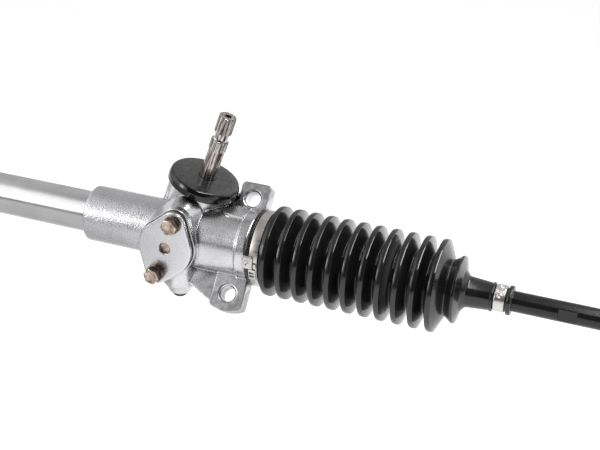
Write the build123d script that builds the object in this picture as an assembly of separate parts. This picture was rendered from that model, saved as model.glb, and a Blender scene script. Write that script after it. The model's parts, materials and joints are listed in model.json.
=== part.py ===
from build123d import *
import math
import os

# Manual rack-and-pinion steering gear, in millimetres.
#
# It is drawn in the gear's own frame: X runs along the rack toward the pinion end's tie rod, Z points up,
# -Y is the side of the yoke cover, and the pinion axis crosses the rack axis at X = 0.
# At the end every piece moves so that the origin is the centre of the two mounting ears' back face.

# ------------------------------------------------------------------ gearing
PINION_TEETH = 7
MODULE = 2.0                  # normal module
PRESSURE_ANGLE = 20.0
LEAN = 17.0                   # the pinion axis leans this far from Z toward +X, and is its helix angle
PROFILE_SHIFT = 0.55          # keeps seven teeth from being undercut
PINION_ADDENDUM = 0.8         # in modules, before the shift
RACK_ADDENDUM = 1.0
DEDENDUM = 1.25
BACKLASH = 0.12
RACK_TEETH = 27
PITCH_LINE_Y = 5.0            # the rack's pitch line, from the rack axis
PINION_FACE = 30.0            # toothed length of the pinion
STROKE = 70.0                 # rack travel each way

# ------------------------------------------------------------------ fits
RUNNING = 0.05                # radial clearance of shafts, balls and the rack in their bearings
SEAT = 0.02                   # radial clearance of parts pushed into a bore
SOFT = 0.3                    # clearance of rubber beside a piece that moves
BORE_ROOM = 1.0               # radial room round the rack where nothing guides it

# ------------------------------------------------------------------ rack bar and housing tube
RACK_R = 12.0
SHOULDER_X = 131.0            # rack end face on the pinion side
STUD_R = 8.0
STUD_LENGTH = 13.0
MIDDLE_X = -98.0              # the two ends mirror each other about this plane
TUBE_R = 17.5
TUBE_WALL = 3.0
TUBE_ENGAGEMENT = 28.0

# ------------------------------------------------------------------ cast housing
BARREL_R = 27.0
BARREL_END_X = 65.6
END_RING_R = 28.2
END_RING_WIDTH = 9.8
END_RING_EDGE = 1.6
BOSS_R = 23.4                 # boss that takes the tube
BOSS_END_X = -82.0
NOSE_R = 27.4                 # seat of the bellows
NOSE_LENGTH = 13.4
NOSE_BORE_R = 20.5
STOP_ROOM = 0.6               # left between the socket and its stop at full travel
SLEEVE_LENGTH = 53.6          # far end housing, from its ring to its collar
BUSH_LENGTH = 20.0
BUSH_WALL = 3.0

# ------------------------------------------------------------------ pinion tower
TOWER_R = 25.2
TOWER_TOP = 39.8              # along the pinion axis, from the rack axis
SPIGOT_R = 22.6
TOWER_WEB_REACH = 28.4        # web on the tower's blind side, under the cap's rim
TOWER_WEB_WIDTH = 16.0
SPIGOT_HEIGHT = 4.8
CAP_R = 29.5
CAP_THICKNESS = 9.2
CAP_EDGE = 2.4
CAP_ROOM = 0.8                # between the cap's rim and the upper ear
LOWER_BOSS_R = 14.5
LOWER_BOSS_END = 38.0
PINION_CAVITY_R = 11.6
BEARING_OUTER_R = 17.5
BEARING_INNER_R = 7.5
BEARING_WIDTH = 11.0
BEARING_SEAT = 19.0
BALL_R = 2.9
BALL_COUNT = 8
RACE_LIP = 0.45               # race shoulder beyond the ball circle, as a share of the ball
CIRCLIP_THICKNESS = 1.3
CIRCLIP_DEPTH = 1.0
CIRCLIP_WIDTH = 3.0
CIRCLIP_GAP = 8.0
SEAL_WIDTH = 6.0
JOURNAL_R = 5.0
LOWER_BUSH_R = 8.0
LOWER_BUSH_LENGTH = 14.0
PLUG_THICKNESS = 3.0

# ------------------------------------------------------------------ pinion shaft
SHAFT_R = 6.9
SHAFT_TOP = 105.7
SPLINE_R = 7.15
SPLINE_DEPTH = 0.5
SPLINE_TEETH = 36
TOP_SPLINE_LENGTH = 14.7
BOLT_GROOVE_LENGTH = 6.5
BOLT_GROOVE_R = 5.7
LOWER_SPLINE_LENGTH = 9.5
CENTRE_DRILL_R = 2.6

# ------------------------------------------------------------------ yoke and cover
YOKE_R = 15.0
COVER_FACE = 36.7             # from the rack axis to the outside of the cover
COVER_THICKNESS = 4.5
GASKET_THICKNESS = 0.8
COVER_HALF_WIDTH = 23.0
COVER_END_R = 10.0
COVER_BOLT_OFFSET = 23.5
FLANGE_EDGE = 1.2             # the housing flange shows this much round the cover
FLANGE_THICKNESS = 6.0
YOKE_LASH = 0.2
YOKE_NEAR = 5.0               # yoke's nearest point to the rack axis
LINER_WALL = 1.0
LINER_R = 11.0
SPRING_POCKET_R = 7.0
SPRING_FLOOR = 17.5
SPRING_R = 5.2
SPRING_WIRE_R = 0.9
SPRING_TURNS = 4
O_RING_R = 1.1
O_RING_PLACE = 26.0
COVER_HOLE_R = 4.9
COVER_PLUG_RECESS = 2.0
COVER_PLUG_NOSE_R = 3.8
BOLT_R = 4.0
BOLT_HEAD_FLATS = 12.0
BOLT_HEAD = 5.5
BOLT_REACH = 14.0             # thread below the flange
WASHER_R = 7.2
UPPER_WASHER = 2.2
LOWER_WASHER = 4.4

# ------------------------------------------------------------------ mounting ears
EAR_TILT = 36.5               # the ears' face leans this far back from vertical
EAR_X = 51.9
EAR_FRONT = 3.0               # front face, from the rack axis
EAR_THICKNESS = 14.0
EAR_UP = 37.3                 # upper and lower hole, from the rack axis along the face
EAR_DOWN = 42.6
EAR_HOLE_R = 6.25
EAR_HOLE_CHAMFER = 1.4
EAR_PAD_R = 11.5              # machined pad round each hole, on the mounting side
EAR_PAD_RISE = 0.8
EAR_LEFT = 13.4               # plate edges, from the hole centre
EAR_RIGHT = 14.4
EAR_TOP = 13.4
EAR_BOTTOM = 12.0
EAR_CORNER_R = 2.5
EAR_RELIEF_R = 32.6           # keeps the ears clear of the bellows and its clamp
GUSSET_THICKNESS = 6.0
PAD_HEIGHT = 28.4
PAD_HALF_DEPTH = 9.0
PAD_LENGTH = 19.0
PAD_CORNER_R = 7.0
FILLER_X = 4.0                # grease filler boss below the yoke
FILLER_Y = -14.0
FILLER_BOSS_R = 14.0
FILLER_BOSS_END = 46.5
FILLER_NOSE_R = 8.6
FILLER_NOSE_LENGTH = 8.5
FILLER_PLUG_R = 5.6
FILLER_PLUG_DEPTH = 8.0
FILLER_PLUG_PROUD = 4.0
FILLER_SOCKET_FLATS = 5.0

# ------------------------------------------------------------------ inner ball joints and tie rods
BALL_JOINT_R = 12.0
BALL_SEAT_WALL = 2.5
SEAT_MOUTH = 50.0             # half angle of the plastic seat's mouth
SOCKET_MOUTH = 52.0           # half angle of the steel socket's mouth
SOCKET_R = 18.0
SOCKET_BACK_WALL = 3.5
SOCKET_FRONT = 11.5
SOCKET_FLATS = 32.0
SOCKET_FLATS_LENGTH = 12.0
LOCK_WASHER = 2.0
LOCK_WASHER_R = 14.5
ROD_NECK_R = 5.4
ROD_NECK_LENGTH = 21.0
ROD_NECK_TAPER = 9.0
ROD_R = 8.0
ROD_LENGTH = 180.0            # ball centre to the start of the thread
ROD_FLATS = 13.0
ROD_FLATS_LENGTH = 14.0
ROD_FLATS_INSET = 22.0        # from the start of the thread
THREAD_R = 7.0
THREAD_LENGTH = 60.0
JAM_NUT_FLATS = 22.0
JAM_NUT_THICKNESS = 8.0
JAM_NUT_PLACE = 8.0

# ------------------------------------------------------------------ bellows and clamps
CUFF_START = 0.5              # from the end ring to the cuff
CUFF_LIP_LENGTH = 3.2
CUFF_LIP_R = 31.3
CUFF_R = 30.0
BAND_START = 4.4              # from the end ring to the big clamp
BAND_WIDTH = 7.2
BAND_THICKNESS = 1.0
BAND_TAB_RISE = 1.6
BAND_TAB_LENGTH = 11.0
BAND_TAB_ANGLE = -2.0
BAND_TAB_OVERHANG = 4.8       # buckle's reach over the cuff's lip
CREST_START = 17.2            # from the end ring to the first crest
CREST_PITCH = 13.32
CREST_COUNT = 11
CREST_R = 36.7
CREST_LAND = 2.8
VALLEY_R = 25.5
VALLEY_LAND = 1.2
BELLOWS_WALL = 2.0
SMALL_CREST_GAP = 15.5        # last full crest to the small one
SMALL_CREST_R = 26.5
SMALL_VALLEY_R = 18.5
NECK_GAP = 6.8                # small crest to the neck
NECK_R = 12.0
NECK_LENGTH = 21.0
NECK_END_R = 10.4
NECK_SEAT_R = 9.2
NECK_SEAT_LENGTH = 10.0
NECK_LIP_R = 11.0
NECK_LIP_LENGTH = 4.0
SMALL_BAND_WIDTH = 8.0
SMALL_BAND_THICKNESS = 0.7

# ------------------------------------------------------------------ worked-out places
lean = math.radians(LEAN)
pitch_r = PINION_TEETH * MODULE / (2 * math.cos(lean))
pinion_y = PITCH_LINE_Y + pitch_r + PROFILE_SHIFT * MODULE
rack_pitch = math.pi * MODULE
cover_inner = COVER_FACE - COVER_THICKNESS
flange_face = cover_inner - GASKET_THICKNESS
bearing_top = BEARING_SEAT + BEARING_WIDTH
circlip_top = bearing_top + CIRCLIP_THICKNESS
spigot_top = TOWER_TOP + SPIGOT_HEIGHT
cap_top = TOWER_TOP + CAP_THICKNESS
socket_back = SHOULDER_X + LOCK_WASHER
seat_cavity_r = BALL_JOINT_R + BALL_SEAT_WALL + 2 * RUNNING
ball_x = socket_back + STUD_LENGTH + SOCKET_BACK_WALL + seat_cavity_r
ear_back = EAR_FRONT - EAR_THICKNESS
nose_end_x = BARREL_END_X + NOSE_LENGTH
stop_x = SHOULDER_X - STROKE - STOP_ROOM

RACK = Rot(0, 90, 0)
PINION = Pos(0, pinion_y, 0) * Rot(0, LEAN, 0)
YOKE = Location(Plane(origin=(0, 0, 0), x_dir=(math.cos(lean), 0, -math.sin(lean)), z_dir=(0, -1, 0)))
tilt = math.radians(EAR_TILT)
EARS = Location(Plane(origin=(0, 0, 0), x_dir=(1, 0, 0), z_dir=(0, -math.cos(tilt), math.sin(tilt))))
ear_origin = EARS * Pos(EAR_X, (EAR_UP - EAR_DOWN) / 2, ear_back)


# ------------------------------------------------------------------ shared forms
def round_bar(radius, start, end):
    """Cylinder along the local Z axis between two heights."""
    return Pos(0, 0, (start + end) / 2) * Cylinder(radius, end - start)


def ring(outer, inner, start, end):
    return round_bar(outer, start, end) - round_bar(inner, start - 1, end + 1)


def turned_x(points):
    """Solid of revolution about the rack axis from (x, radius) points."""
    return revolve(make_face(Polyline(points, close=True)), Axis.X)


def turned_z(points):
    """Solid of revolution about the local Z axis from (radius, z) points."""
    return revolve(Plane.XZ * make_face(Polyline(points, close=True)), Axis.Z)


def hex_bar(flats, start, end):
    sketch = RegularPolygon(flats / 2, 6, major_radius=False)
    return extrude(Pos(0, 0, start) * sketch, end - start)


def far_end(shape):
    """The same piece at the tube end of the gear."""
    return mirror(shape, Plane(origin=(MIDDLE_X, 0, 0), z_dir=(1, 0, 0)))


# ------------------------------------------------------------------ pinion and rack
def involute_half_angle(radius, base_r, alpha_t):
    """Half of the tooth's angle at a radius of the transverse section."""
    tooth = (math.pi / 2 + 2 * PROFILE_SHIFT * math.tan(math.radians(PRESSURE_ANGLE))) / PINION_TEETH
    tooth -= BACKLASH / 4 / pitch_r
    if radius <= base_r:
        return tooth + math.tan(alpha_t) - alpha_t
    here = math.acos(base_r / radius)
    return tooth + math.tan(alpha_t) - alpha_t - math.tan(here) + here


def pinion_section():
    alpha_t = math.atan(math.tan(math.radians(PRESSURE_ANGLE)) / math.cos(lean))
    base_r = pitch_r * math.cos(alpha_t)
    root_r = pitch_r - MODULE * (DEDENDUM - PROFILE_SHIFT)
    tip_r = pitch_r + MODULE * (PINION_ADDENDUM + PROFILE_SHIFT)
    steps = [base_r + (tip_r - base_r) * k / 5 for k in range(6)]

    def at(radius, angle):
        return (radius * math.cos(angle), radius * math.sin(angle))

    edges = []
    half_root = involute_half_angle(root_r, base_r, alpha_t)
    half_tip = involute_half_angle(tip_r, base_r, alpha_t)
    spacing = 2 * math.pi / PINION_TEETH
    for k in range(PINION_TEETH):
        middle = -math.pi / 2 + (k + 0.5) * spacing
        up = [at(r, middle - involute_half_angle(r, base_r, alpha_t)) for r in steps]
        down = [at(r, middle + involute_half_angle(r, base_r, alpha_t)) for r in reversed(steps)]
        edges.append(Line(at(root_r, middle - half_root), up[0]))
        edges.append(Spline(*up))
        edges.append(Line(at(tip_r, middle - half_tip), at(tip_r, middle + half_tip)))
        edges.append(Spline(*down))
        edges.append(Line(down[-1], at(root_r, middle + half_root)))
        edges.append(Line(at(root_r, middle + half_root), at(root_r, middle + spacing - half_root)))
    return make_face(edges)


def pinion_teeth():
    twist = -math.degrees(math.tan(lean) / pitch_r)
    start = -PINION_FACE / 2
    section = Pos(0, 0, start) * Rot(0, 0, twist * start) * pinion_section()
    return Solid.extrude_linear_with_rotation(
        section.face(), (0, 0, start), (0, 0, PINION_FACE), twist * PINION_FACE)


def spline_bar(start, end):
    points = []
    for k in range(SPLINE_TEETH):
        for radius, share in ((SPLINE_R, 0.0), (SPLINE_R - SPLINE_DEPTH, 0.5)):
            angle = 2 * math.pi * (k + share) / SPLINE_TEETH
            points.append((radius * math.cos(angle), radius * math.sin(angle)))
    teeth = extrude(Pos(0, 0, start) * make_face(Polyline(points, close=True)), end - start)
    blank = chamfer(round_bar(SPLINE_R, start, end).edges(), SPLINE_DEPTH)
    return teeth & blank


def pinion_shaft():
    groove_top = SHAFT_TOP - TOP_SPLINE_LENGTH
    groove_end = groove_top - BOLT_GROOVE_LENGTH
    spline_end = groove_end - LOWER_SPLINE_LENGTH
    slope = SHAFT_R - BOLT_GROOVE_R
    journal_end = -PINION_FACE / 2 - LOWER_BUSH_LENGTH - 1
    body = turned_z([
        (0, journal_end),
        (JOURNAL_R - 0.8, journal_end),
        (JOURNAL_R, journal_end + 0.8),
        (JOURNAL_R, -PINION_FACE / 2),
        (JOURNAL_R, 0),
        (JOURNAL_R, PINION_FACE / 2 - 1),
        (BEARING_INNER_R + 1.8, PINION_FACE / 2),
        (BEARING_INNER_R + 1.8, BEARING_SEAT),
        (BEARING_INNER_R - SEAT, BEARING_SEAT),
        (BEARING_INNER_R - SEAT, bearing_top),
        (SHAFT_R, bearing_top + 1),
        (SHAFT_R, spline_end),
        (SHAFT_R, groove_end - slope),
        (BOLT_GROOVE_R, groove_end + slope),
        (BOLT_GROOVE_R, groove_top - slope),
        (BOLT_GROOVE_R, SHAFT_TOP - 0.6),
        (0, SHAFT_TOP - 0.6)])
    shaft = body + pinion_teeth()
    shaft += spline_bar(spline_end, groove_end)
    shaft += spline_bar(groove_top, SHAFT_TOP)
    drill = Pos(0, 0, SHAFT_TOP) * Rot(180, 0, 0) * Cone(CENTRE_DRILL_R, 0.2, CENTRE_DRILL_R,
                                                        align=(Align.CENTER, Align.CENTER, Align.MIN))
    return PINION * (shaft - drill)


def rack_tooth_gaps():
    """Everything above the tooth line, cut straight across the bar."""
    slope = math.tan(math.radians(PRESSURE_ANGLE))
    tip_y = PITCH_LINE_Y + RACK_ADDENDUM * MODULE
    root_y = PITCH_LINE_Y - DEDENDUM * MODULE
    half = rack_pitch / 4 - BACKLASH / 4
    half_tip = half - (tip_y - PITCH_LINE_Y) * slope
    half_root = half + (PITCH_LINE_Y - root_y) * slope
    first = -(RACK_TEETH - 1) / 2 * rack_pitch
    outline = [(first - half_tip, 2 * RACK_R)]
    for k in range(RACK_TEETH):
        x = first + k * rack_pitch
        if k > 0:
            outline.append((x - half_root, root_y))
        outline.append((x - half_tip, tip_y))
        outline.append((x + half_tip, tip_y))
        if k < RACK_TEETH - 1:
            outline.append((x + half_root, root_y))
    outline.append((-first + half_tip, 2 * RACK_R))
    return extrude(make_face(Polyline(outline, close=True)), RACK_R + 1, both=True)


def rack_bar():
    left = 2 * MIDDLE_X - SHOULDER_X
    stud_end = SHOULDER_X + LOCK_WASHER + STUD_LENGTH - 0.5
    far_stud = 2 * MIDDLE_X - stud_end
    bar = turned_x([
        (far_stud, 0), (far_stud, STUD_R - 1), (far_stud + 1, STUD_R - SEAT), (left, STUD_R - SEAT),
        (left, RACK_R - 1), (left + 1, RACK_R), (SHOULDER_X - 1, RACK_R), (SHOULDER_X, RACK_R - 1),
        (SHOULDER_X, STUD_R - SEAT), (stud_end - 1, STUD_R - SEAT), (stud_end, STUD_R - 1), (stud_end, 0)])
    return bar - rack_tooth_gaps()


# ------------------------------------------------------------------ housing
def cover_outline(grow):
    circles = Circle(COVER_HALF_WIDTH + grow)
    circles += Pos(0, COVER_BOLT_OFFSET) * Circle(COVER_END_R + grow)
    circles += Pos(0, -COVER_BOLT_OFFSET) * Circle(COVER_END_R + grow)
    return make_hull(circles.edges())


def ear_plate():
    """Both ears as one plate behind the barrel, cut back where the bellows clamp sits."""
    left = EAR_X - EAR_LEFT
    right = EAR_X + EAR_RIGHT
    top = EAR_UP + EAR_TOP
    bottom = -EAR_DOWN - EAR_BOTTOM
    outline = make_face([
        Line((left, top - 1.5), (left + 4, top)),
        Line((left + 4, top), (right - 1.5, top)),
        Line((right - 1.5, top), (right, bottom + 2)),
        ThreePointArc((right, bottom + 2), (EAR_X, bottom - 2), (left, bottom + 1)),
        Line((left, bottom + 1), (left, top - 1.5))])
    outline = fillet(outline.vertices(), EAR_CORNER_R)
    plate = extrude(Pos(0, 0, ear_back + EAR_PAD_RISE) * outline, EAR_THICKNESS - EAR_PAD_RISE)
    for place in (EAR_UP, -EAR_DOWN):
        plate += Pos(EAR_X, place, 0) * round_bar(EAR_PAD_R, ear_back, EAR_FRONT - 1)
    return EARS * plate


def gusset(points):
    """Triangular web in the middle of the ear plate's thickness."""
    middle = (EAR_FRONT + ear_back) / 2
    outline = make_face(Polyline(points, close=True))
    return EARS * extrude(Pos(0, 0, middle) * outline, GUSSET_THICKNESS / 2, both=True)


def filler_boss():
    """Round boss below the yoke, narrowing to the plug's face."""
    shoulder = -FILLER_BOSS_END + FILLER_NOSE_LENGTH
    return turned_z([
        (0, -FILLER_BOSS_END), (FILLER_NOSE_R, -FILLER_BOSS_END), (FILLER_BOSS_R - 1.5, shoulder - 1.5),
        (FILLER_BOSS_R, shoulder), (FILLER_BOSS_R, FILLER_Y), (0, FILLER_Y)])


def housing_outside():
    ring_x = BARREL_END_X - END_RING_WIDTH
    body = turned_x([
        (BOSS_END_X, 0), (BOSS_END_X, BOSS_R - 1.5), (BOSS_END_X + 1.5, BOSS_R),
        (-16, BOSS_R), (-6, BARREL_R), (ring_x, BARREL_R), (ring_x + 0.6, END_RING_R),
        (BARREL_END_X - END_RING_EDGE, END_RING_R), (BARREL_END_X, NOSE_R),
        (nose_end_x - 1, NOSE_R),
        (nose_end_x, NOSE_R - 1), (nose_end_x, 0)])
    body += PINION * round_bar(TOWER_R, 0, TOWER_TOP)
    web = Box(TOWER_WEB_REACH, TOWER_WEB_WIDTH, TOWER_TOP, align=(Align.MAX, Align.CENTER, Align.MIN))
    body += PINION * fillet(web.edges().group_by(Axis.X)[0].filter_by(Axis.Z), TOWER_WEB_WIDTH / 4)
    body += PINION * round_bar(SPIGOT_R, TOWER_TOP - 1, spigot_top)
    body += PINION * round_bar(LOWER_BOSS_R, -LOWER_BOSS_END, 0)
    body += YOKE * extrude(cover_outline(-1.0), flange_face - 1)
    flange = Pos(0, 0, flange_face - FLANGE_THICKNESS) * cover_outline(FLANGE_EDGE)
    body += YOKE * extrude(flange, FLANGE_THICKNESS)
    body += Pos(FILLER_X, FILLER_Y, 0) * filler_boss()
    left = EAR_X - EAR_LEFT
    reach = nose_end_x + 5
    plate = ear_plate() - RACK * ring(EAR_RELIEF_R, 1, BARREL_END_X, reach)
    cap_space = PINION * round_bar(CAP_R + CAP_ROOM, TOWER_TOP, cap_top + CAP_R)
    body += plate - cap_space
    body += gusset([(left + 1, -BARREL_R / 2), (left + 1, -EAR_DOWN - EAR_BOTTOM + 3),
                    (FILLER_X + 8, -EAR_DOWN + 4), (FILLER_X, -BARREL_R / 2)])
    upper_web = gusset([(left + 1, BARREL_R / 2), (left + 1, EAR_UP + EAR_TOP - 6), (left - 16, BARREL_R)])
    body += upper_web - cap_space
    pad = Box(PAD_LENGTH, 2 * PAD_HALF_DEPTH, PAD_HEIGHT, align=(Align.MAX, Align.CENTER, Align.MIN))
    body += Pos(ring_x, 0, 0) * fillet(pad.edges().group_by(Axis.X)[0].filter_by(Axis.Z), PAD_CORNER_R)
    return body


def housing_bores():
    tube_floor = BOSS_END_X + TUBE_ENGAGEMENT
    cuts = RACK * round_bar(RACK_R + BORE_ROOM, BOSS_END_X - 1, nose_end_x + 1)
    cuts += RACK * round_bar(TUBE_R + SEAT, BOSS_END_X - 1, tube_floor)
    cuts += RACK * round_bar(NOSE_BORE_R, stop_x, nose_end_x + 1)
    cuts += PINION * round_bar(PINION_CAVITY_R, -PINION_FACE / 2 - 2, BEARING_SEAT + 1)
    cuts += PINION * round_bar(BEARING_OUTER_R, BEARING_SEAT, spigot_top + 1)
    cuts += PINION * round_bar(BEARING_OUTER_R + CIRCLIP_DEPTH, bearing_top, circlip_top)
    cuts += PINION * round_bar(LOWER_BUSH_R, -LOWER_BOSS_END - 1, 0)
    cuts += YOKE * round_bar(YOKE_R, 0, flange_face + 1)
    for side in (1, -1):
        cuts += YOKE * Pos(0, side * COVER_BOLT_OFFSET) * round_bar(BOLT_R, flange_face - BOLT_REACH - 2,
                                                                    flange_face + 1)
    filler_hole = round_bar(FILLER_PLUG_R, -FILLER_BOSS_END - 1, -FILLER_BOSS_END + FILLER_PLUG_DEPTH)
    cuts += Pos(FILLER_X, FILLER_Y, 0) * filler_hole
    for place in (EAR_UP, -EAR_DOWN):
        hole = round_bar(EAR_HOLE_R, ear_back - 1, EAR_FRONT + 1)
        mouth = Cone(EAR_HOLE_R, EAR_HOLE_R + EAR_HOLE_CHAMFER, EAR_HOLE_CHAMFER,
                     align=(Align.CENTER, Align.CENTER, Align.MAX))
        hole += Pos(0, 0, EAR_FRONT) * mouth
        cuts += EARS * Pos(EAR_X, place, 0) * hole
    return cuts


def rack_housing():
    return housing_outside() - housing_bores()


def far_housing():
    """End housing on the tube, bellows seat outside and rack bush inside; drawn near, then mirrored."""
    ring_x = BARREL_END_X - END_RING_WIDTH
    collar_x = BARREL_END_X - SLEEVE_LENGTH
    bush_x = stop_x - BUSH_LENGTH
    body = turned_x([
        (collar_x, 0), (collar_x, BOSS_R - 1.5), (collar_x + 1.5, BOSS_R), (collar_x + 18, BOSS_R),
        (collar_x + 24, BARREL_R), (ring_x, BARREL_R), (ring_x + 0.6, END_RING_R),
        (BARREL_END_X - END_RING_EDGE, END_RING_R), (BARREL_END_X, NOSE_R),
        (nose_end_x - 1, NOSE_R),
        (nose_end_x, NOSE_R - 1), (nose_end_x, 0)])
    cuts = RACK * round_bar(TUBE_R + SEAT, collar_x - 1, bush_x)
    cuts += RACK * round_bar(RACK_R + BUSH_WALL + SEAT, bush_x - 1, nose_end_x)
    cuts += RACK * round_bar(NOSE_BORE_R, stop_x, nose_end_x + 1)
    return far_end(body - cuts)


def housing_tube():
    start = BOSS_END_X + TUBE_ENGAGEMENT
    end = 2 * MIDDLE_X - (stop_x - BUSH_LENGTH)
    return RACK * ring(TUBE_R, TUBE_R - TUBE_WALL, end, start)


def rack_bush():
    start = stop_x - BUSH_LENGTH
    return far_end(RACK * ring(RACK_R + BUSH_WALL, RACK_R + RUNNING, start, start + BUSH_LENGTH))


# ------------------------------------------------------------------ pinion bearings, seal and caps
ball_circle = (BEARING_OUTER_R + BEARING_INNER_R) / 2
ball_level = BEARING_SEAT + BEARING_WIDTH / 2
race_lip = BALL_R * RACE_LIP


def ball_groove():
    return Pos(0, 0, ball_level) * Torus(ball_circle, BALL_R + RUNNING)


def bearing_outer_race():
    race = ring(BEARING_OUTER_R - SEAT, ball_circle + race_lip, BEARING_SEAT, bearing_top)
    return PINION * (race - ball_groove())


def bearing_inner_race():
    race = ring(ball_circle - race_lip, BEARING_INNER_R, BEARING_SEAT, bearing_top)
    return PINION * (race - ball_groove())


def bearing_balls():
    """Balls joined by their cage ring."""
    cage = ring(ball_circle + race_lip - 0.3, ball_circle - race_lip + 0.3, ball_level - 1, ball_level + 1)
    for k in range(BALL_COUNT):
        cage += Rot(0, 0, 360 * k / BALL_COUNT) * Pos(ball_circle, 0, ball_level) * Sphere(BALL_R)
    return PINION * cage


def bearing_circlip():
    outer = BEARING_OUTER_R + CIRCLIP_DEPTH - SEAT
    clip = ring(outer, outer - CIRCLIP_WIDTH, bearing_top, circlip_top)
    for side in (1, -1):
        lug = Pos(outer - CIRCLIP_WIDTH - 0.6, side * (CIRCLIP_GAP / 2 + 1.6)) * Circle(2.0)
        lug = lug - Pos(outer - CIRCLIP_WIDTH - 0.9, side * (CIRCLIP_GAP / 2 + 1.6)) * Circle(0.8)
        clip += extrude(Pos(0, 0, bearing_top) * lug, CIRCLIP_THICKNESS)
    gap = Pos(outer - 1, 0, bearing_top) * Box(8, CIRCLIP_GAP, 4)
    return PINION * (clip - gap)


def pinion_seal():
    seal = turned_z([
        (BEARING_OUTER_R - SEAT, circlip_top),
        (BEARING_OUTER_R - SEAT, circlip_top + SEAL_WIDTH),
        (SHAFT_R + SOFT, circlip_top + SEAL_WIDTH),
        (SHAFT_R + SOFT, circlip_top + SEAL_WIDTH - 1.5),
        (BEARING_OUTER_R - 4, circlip_top + SEAL_WIDTH - 1.5),
        (BEARING_OUTER_R - 3, circlip_top)])
    return PINION * seal


def dust_cap():
    """Flat disc with a rounded rim, pushed over the tower's spigot."""
    cap = turned_z([
        (SHAFT_R + SOFT, spigot_top), (SPIGOT_R + SEAT, spigot_top), (SPIGOT_R + SEAT, TOWER_TOP),
        (CAP_R - 0.5, TOWER_TOP), (CAP_R, TOWER_TOP + 0.5), (CAP_R, cap_top - CAP_EDGE),
        (CAP_R - 0.3 * CAP_EDGE, cap_top - 0.3 * CAP_EDGE), (CAP_R - CAP_EDGE, cap_top),
        (SHAFT_R + SOFT, cap_top)])
    return PINION * cap


def lower_bush():
    end = -PINION_FACE / 2 - 2
    bush = ring(LOWER_BUSH_R - SEAT, JOURNAL_R + RUNNING, end - LOWER_BUSH_LENGTH, end)
    return PINION * bush


def lower_plug():
    plug = round_bar(LOWER_BUSH_R - SEAT, -LOWER_BOSS_END, -LOWER_BOSS_END + PLUG_THICKNESS)
    dish = round_bar(LOWER_BUSH_R - 2, -LOWER_BOSS_END - 1, -LOWER_BOSS_END + PLUG_THICKNESS / 2)
    return PINION * (plug - dish)


def filler_plug():
    end = -FILLER_BOSS_END - FILLER_PLUG_PROUD
    plug = round_bar(FILLER_PLUG_R - SEAT, end, -FILLER_BOSS_END + FILLER_PLUG_DEPTH)
    plug = chamfer(plug.edges().group_by(Axis.Z)[0], 0.8)
    plug -= hex_bar(FILLER_SOCKET_FLATS, end - 1, end + 4)
    return Pos(FILLER_X, FILLER_Y, 0) * plug


# ------------------------------------------------------------------ yoke and its cover
def yoke():
    liner_back = RACK_R + RUNNING + LINER_WALL
    body = round_bar(YOKE_R - RUNNING, YOKE_NEAR, flange_face - YOKE_LASH)
    body -= round_bar(SPRING_POCKET_R, SPRING_FLOOR, flange_face)
    groove = ring(YOKE_R + 1, YOKE_R - 2 * O_RING_R - SEAT, O_RING_PLACE - O_RING_R, O_RING_PLACE + O_RING_R)
    body -= groove
    placed = YOKE * body - RACK * round_bar(RACK_R + 2 * RUNNING, -30, 30)
    pocket = YOKE * round_bar(LINER_R + SEAT, 0, SPRING_FLOOR) & RACK * round_bar(liner_back + SEAT, -30, 30)
    return placed - pocket


def yoke_liner():
    """Thin plastic pad between the yoke and the rack."""
    liner_back = RACK_R + RUNNING + LINER_WALL
    pad = YOKE * round_bar(LINER_R, YOKE_NEAR + 1, SPRING_FLOOR)
    return pad & (RACK * ring(liner_back, RACK_R + RUNNING, -30, 30))


def yoke_spring():
    height = cover_inner - SPRING_FLOOR - 2 * SPRING_WIRE_R - 0.1
    start = SPRING_FLOOR + SPRING_WIRE_R + 0.05
    path = Helix(height / SPRING_TURNS, height, SPRING_R)
    section = Plane(origin=path @ 0, z_dir=path % 0) * Circle(SPRING_WIRE_R)
    return YOKE * Pos(0, 0, start) * sweep(section, path)


def yoke_o_ring():
    return YOKE * Pos(0, 0, O_RING_PLACE) * Torus(YOKE_R - O_RING_R - SEAT, O_RING_R - 2 * SEAT)


def bolt_places():
    return [(COVER_BOLT_OFFSET, UPPER_WASHER), (-COVER_BOLT_OFFSET, LOWER_WASHER)]


def yoke_cover():
    plate = extrude(Pos(0, 0, cover_inner) * cover_outline(0), COVER_THICKNESS)
    plate = chamfer(plate.faces().sort_by(Axis.Z)[-1].edges(), 0.5)
    plate -= round_bar(COVER_HOLE_R, cover_inner - 1, COVER_FACE + 1)
    for offset, _ in bolt_places():
        plate -= Pos(0, offset) * round_bar(BOLT_R + 0.4, cover_inner - 1, COVER_FACE + 1)
    return YOKE * plate


def cover_gasket():
    sheet = extrude(Pos(0, 0, flange_face) * cover_outline(0.3), GASKET_THICKNESS)
    sheet -= round_bar(YOKE_R, flange_face - 1, cover_inner + 1)
    for offset, _ in bolt_places():
        sheet -= Pos(0, offset) * round_bar(BOLT_R + 0.4, flange_face - 1, cover_inner + 1)
    return YOKE * sheet


def cover_plug():
    """Threaded plug in the cover's middle hole; its inner end centres the spring."""
    plug = round_bar(COVER_HOLE_R - SEAT, cover_inner, COVER_FACE - COVER_PLUG_RECESS)
    plug += round_bar(COVER_PLUG_NOSE_R, cover_inner - 2, cover_inner + 1)
    plug -= hex_bar(3.0, COVER_FACE - COVER_PLUG_RECESS - 1.5, COVER_FACE)
    return YOKE * plug


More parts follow.
